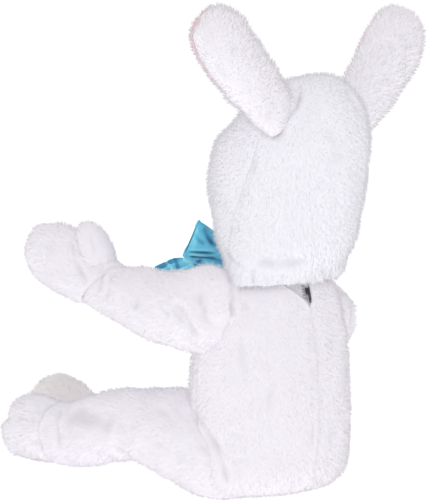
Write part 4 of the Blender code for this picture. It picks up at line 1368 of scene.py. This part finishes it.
loop_row, loop_angle = crossed(np.linspace(0, 5, 54), angles_round(100))
tail_row, tail_share = crossed(np.linspace(0, 4, 76), np.linspace(-1, 1, 42))
for side in ("left", "right"):
    points, normals, rise = loop_points(loop_row, loop_angle, side == "right")
    loop = thin(
        "bow_loop_cloth_" + side, "bow_loop_" + side, points, normals, True, blue_satin, SATIN
    )
    mark_satin(loop, rise, pleat_shade=0.0022, ridge_highlight=0.0024)
    close_tip(loop)
    points, normals, rise = tail_points(tail_row, tail_share, side == "right")
    tail = thin(
        "bow_tail_cloth_" + side, "bow_tail_" + side, points, normals, False, blue_satin, SATIN
    )
    mark_satin(tail, rise, pleat_shade=0.0036, ridge_highlight=0.0013)

# the knot is a short sleeve round the ribbon, fullest at its middle and pleated along it
knot_across, knot_angle = crossed(np.linspace(-1, 1, 28), angles_round(72))
knot_size = 0.80 + 0.20 * np.cos(knot_across * np.pi / 2) ** 0.7
knot_size *= 1 + 0.05 * np.sin(5 * knot_across * np.pi / 2 + np.sin(knot_angle))
knot_normals = np.stack([0 * knot_angle, np.cos(knot_angle), np.sin(knot_angle)], axis=-1)
knot_points = knot_normals * knot_size[..., None] + knot_across[..., None] * (1.0, 0.0, 0.0)
knot_points = KNOT + knot_points * KNOT_HALF
knot = thin("bow_knot_cloth", "bow_knot", knot_points, knot_normals, True, blue_satin, SATIN)


# Zip: two grey woven tapes behind the back panels' edges, each with a row of moulded teeth.
# They show where the panels part above the slider, just under the hood's hem.
TAPE_UNDER = 0.0059  # the tape's outer face under the trunk's outline
TAPE = 0.0008  # its thickness
TAPE_LOWEST = 0.022
TAPE_OVER_HEM = 0.006  # how far the tapes and teeth run on under the hood
TAPES = (("left", 0.0, np.radians(27), 0.038), ("right", np.radians(-10), 0.0, 0.019))
TOOTH = np.array([0.0013, 0.0009, 0.0007])  # half sizes across, out of and along the tape
TOOTH_STEP = 0.0036
TOOTH_OUT = 0.0011  # from the middle line to a tooth where the rows mesh
TOOTH_PARTED = 0.0044  # how much further it is where they are parted

# woven ribs run across the tape
grey_tape = new_finish("grey_tape", Base_Color=(0.95, 0.945, 0.97, 1.0), Roughness=0.9)
tree = grey_tape.node_tree
join = tree.links.new
place = tree.nodes.new("ShaderNodeTexCoord")
ribs = add_node(tree, "ShaderNodeTexWave", Scale=500.0)
ribs.bands_direction = "Z"
bump = add_node(tree, "ShaderNodeBump", Distance=0.0003)
join(place.outputs["Object"], ribs.inputs["Vector"])
join(ribs.outputs["Fac"], bump.inputs["Height"])
join(bump.outputs["Normal"], tree.nodes["Principled BSDF"].inputs["Normal"])

tape_heights = smooth(TRUNK["height"], trunk_rows)
tape_rows = trunk_rows[(tape_heights < HEM_HEIGHT + TAPE_OVER_HEM) & (tape_heights > TAPE_LOWEST)]
for side, start, stop, width in TAPES:
    row, angle = crossed(tape_rows, np.linspace(start, stop, 9))
    normals = outward(trunk_outline, row, angle)
    points = trunk_outline(row, angle) - normals * TAPE_UNDER
    tape = thin(
        "zip_tape_cloth_" + side, "zip_tape_" + side, points, normals, False, grey_tape, TAPE
    )

grey_teeth = new_finish("grey_teeth", Base_Color=(0.40, 0.39, 0.42, 1.0), Roughness=0.4)


def faces_out(piece):
    """Merges the points that lie on one another, and turns a closed mesh's faces outwards."""
    shape = bmesh.new()
    shape.from_mesh(piece.data)
    bmesh.ops.remove_doubles(shape, verts=shape.verts, dist=1e-6)
    bmesh.ops.recalc_face_normals(shape, faces=shape.faces)
    shape.to_mesh(piece.data)
    shape.free()


# a tooth is a small box that narrows outwards
across_x = np.array([1.0, 0.0, 0.0])
fine_rows = np.linspace(0, 6, 1200)
box = np.array([(x, y, z) for x in (-1, 1) for y in (-1, 1) for z in (-1, 1)], float)
box_faces = np.array([(0, 1, 3, 2), (4, 6, 7, 5), (0, 4, 5, 1), (2, 3, 7, 6), (0, 2, 6, 4), (1, 5, 7, 3)])
box_taper = 1 - 0.25 * (box[:, 1:2] > 0) * (1.0, 0.0, 1.0)
for side, sign, first in (("left", 1.0, 0.0), ("right", -1.0, 0.5)):
    # the two rows stand half a step apart, as they mesh
    tooth_heights = np.arange(ZIP_PART_FROM + 0.002 + first * TOOTH_STEP, HEM_HEIGHT + 0.004, TOOTH_STEP)
    tooth_rows = np.interp(-tooth_heights, -smooth(TRUNK["height"], fine_rows), fine_rows)
    parted = eased(tooth_heights, ZIP_PART_FROM - 0.004, ZIP_OPEN_FROM + 0.003)
    spread = sign * (TOOTH_OUT + TOOTH_PARTED * parted)
    angle = np.arcsin(spread / smooth(TRUNK["half_width"], tooth_rows))
    out = outward(trunk_outline, tooth_rows, angle)
    out *= np.sign(out[:, 1:2])
    centre = trunk_outline(tooth_rows, angle) - out * (TAPE_UNDER - TOOTH[1])
    upright = unit(np.cross(across_x, out))
    shaped = box * box_taper * TOOTH
    corners = (
        centre[:, None] + shaped[None, :, :1] * across_x + shaped[None, :, 1:2] * out[:, None]
        + shaped[None, :, 2:] * upright[:, None]
    )
    tooth_faces = (np.arange(len(centre))[:, None, None] * len(box) + box_faces).reshape(-1, 4)
    teeth = put_in_mesh("zip_teeth_" + side, corners.reshape(-1, 3), tooth_faces, grey_teeth)
    teeth.data.shade_flat()
    faces_out(teeth)
    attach(teeth, "costume")


# Slider and pull tab: small dark metal castings. The slider is forked at its head and narrow
# at its foot. The flat tab has a hole near its tip, hangs from the bridge and turns on it.
SLIDER_MIDDLE = np.array([0.0, 0.03116, -0.01684])
SLIDER_HALF = np.array([0.0035, 0.0014, 0.0045])
TAB_TOP = np.array([0.0, 0.033614, -0.017363])
TAB_TIP = np.array([0.0, 0.036115, -0.029611])
TAB_HALF = np.array([0.0020, 0.0006])
FORK_DEPTH = 0.0052
FORK_HALF = 0.0009
BRIDGE_RISE = 0.0011
BRIDGE_HALF = 0.0026
BRIDGE_THICK = 0.00045  # half, and twice that across
HOLE_HALF = 0.0008
HOLE_LONG = 0.15  # share of the tab's length
HOLE_DOWN = 0.68  # from the tab's middle towards its tip, as a share of half its length
tab_down = unit(TAB_TIP - TAB_TOP)
tab_out = np.array([0.0, -tab_down[2], tab_down[1]])

# the metal is dull in spots, where its paint is worn
dark_metal = new_finish("dark_metal", Metallic=0.9, Base_Color=(0.085, 0.08, 0.09, 1.0))
tree = dark_metal.node_tree
join = tree.links.new
place = tree.nodes.new("ShaderNodeTexCoord")
wear = add_node(tree, "ShaderNodeTexNoise", Scale=700.0)
gloss = add_node(tree, "ShaderNodeMapRange", To_Min=0.28, To_Max=0.50)
join(place.outputs["Object"], wear.inputs["Vector"])
join(wear.outputs["Fac"], gloss.inputs["Value"])
join(gloss.outputs["Result"], tree.nodes["Principled BSDF"].inputs["Roughness"])


def rounded(angle, power):
    """Cosine and sine of a rounded square: powers of the circle's own."""
    cos, sin = np.cos(angle), np.sin(angle)
    return np.sign(cos) * np.abs(cos) ** power, np.sign(sin) * np.abs(sin) ** power


def cast(name, points, faces, body):
    """A casting of dark metal, from a grid of points, on the body that it moves with."""
    piece = put_in_mesh(name, points.reshape(-1, 3), faces, dark_metal)
    faces_out(piece)
    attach(piece, body)
    return piece


# the body is a rounded block, narrow at its foot, where the rows of teeth meet, and forked
# at its head, where they part
rise, turn = crossed(np.linspace(-np.pi / 2, np.pi / 2, 24), angles_round(48))
flat_cos, flat_sin = rounded(turn, 0.5)
tall_cos, tall_sin = rounded(rise, 0.45)
width = flat_cos * tall_cos * SLIDER_HALF[0] * (0.44 + 0.42 * eased(tall_sin, -0.3, 1.0))
fork = FORK_DEPTH * np.exp(-((width / FORK_HALF) ** 2)) * eased(tall_sin, 0.1, 1.0)
body_points = SLIDER_MIDDLE + (
    width[..., None] * across_x
    + (flat_sin * tall_cos * SLIDER_HALF[1])[..., None] * tab_out
    - (tall_sin * SLIDER_HALF[2] - fork)[..., None] * tab_down
)
slider_body = cast("slider_body", body_points, grid_faces(*rise.shape, True), "costume")

# the bridge is a flat bow over the body: a tube carried along half an ellipse
arch, tube = crossed(np.linspace(0.15, np.pi - 0.15, 20), angles_round(16))
bridge_line = SLIDER_MIDDLE + tab_out * SLIDER_HALF[1] * 0.7 + (
    (np.sin(arch) * BRIDGE_RISE)[..., None] * tab_out - (np.cos(arch) * BRIDGE_HALF)[..., None] * tab_down
)
bridge_out = np.sin(arch)[..., None] * tab_out - np.cos(arch)[..., None] * tab_down
bridge_points = bridge_line + BRIDGE_THICK * (
    np.cos(tube)[..., None] * bridge_out + 2.0 * np.sin(tube)[..., None] * across_x
)
cast("slider_bridge", bridge_points, grid_faces(*arch.shape, True), "costume")

# the tab is a flat ring: its section runs round from the tab's edge to the hole's
tab_half_length = np.linalg.norm(TAB_TIP - TAB_TOP) / 2
ring, edge_turn = crossed(angles_round(16), angles_round(72))
edge_cos, edge_sin = rounded(edge_turn, 0.55)
ring_cos, ring_sin = rounded(ring, 0.5)
rim = 0.5 + 0.5 * ring_cos  # 0 at the hole's edge and 1 at the tab's
tab_across = edge_cos * (HOLE_HALF + (TAB_HALF[0] * 0.85 - HOLE_HALF) * rim)
tab_along = edge_sin * (HOLE_LONG + (1 - HOLE_LONG) * rim) + HOLE_DOWN * (1 - rim)
tab_points = (
    (TAB_TOP + TAB_TIP) / 2 + tab_across[..., None] * across_x
    + (tab_along * tab_half_length)[..., None] * tab_down
    + (ring_sin * TAB_HALF[1] * 0.95)[..., None] * tab_out
)
tab_faces = grid_faces(len(ring) + 1, ring.shape[1], True) % ring.size
pull_tab = cast("pull_tab_metal", tab_points, tab_faces, "pull_tab")
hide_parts("zip_slider")
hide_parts("zip_pull_tab")
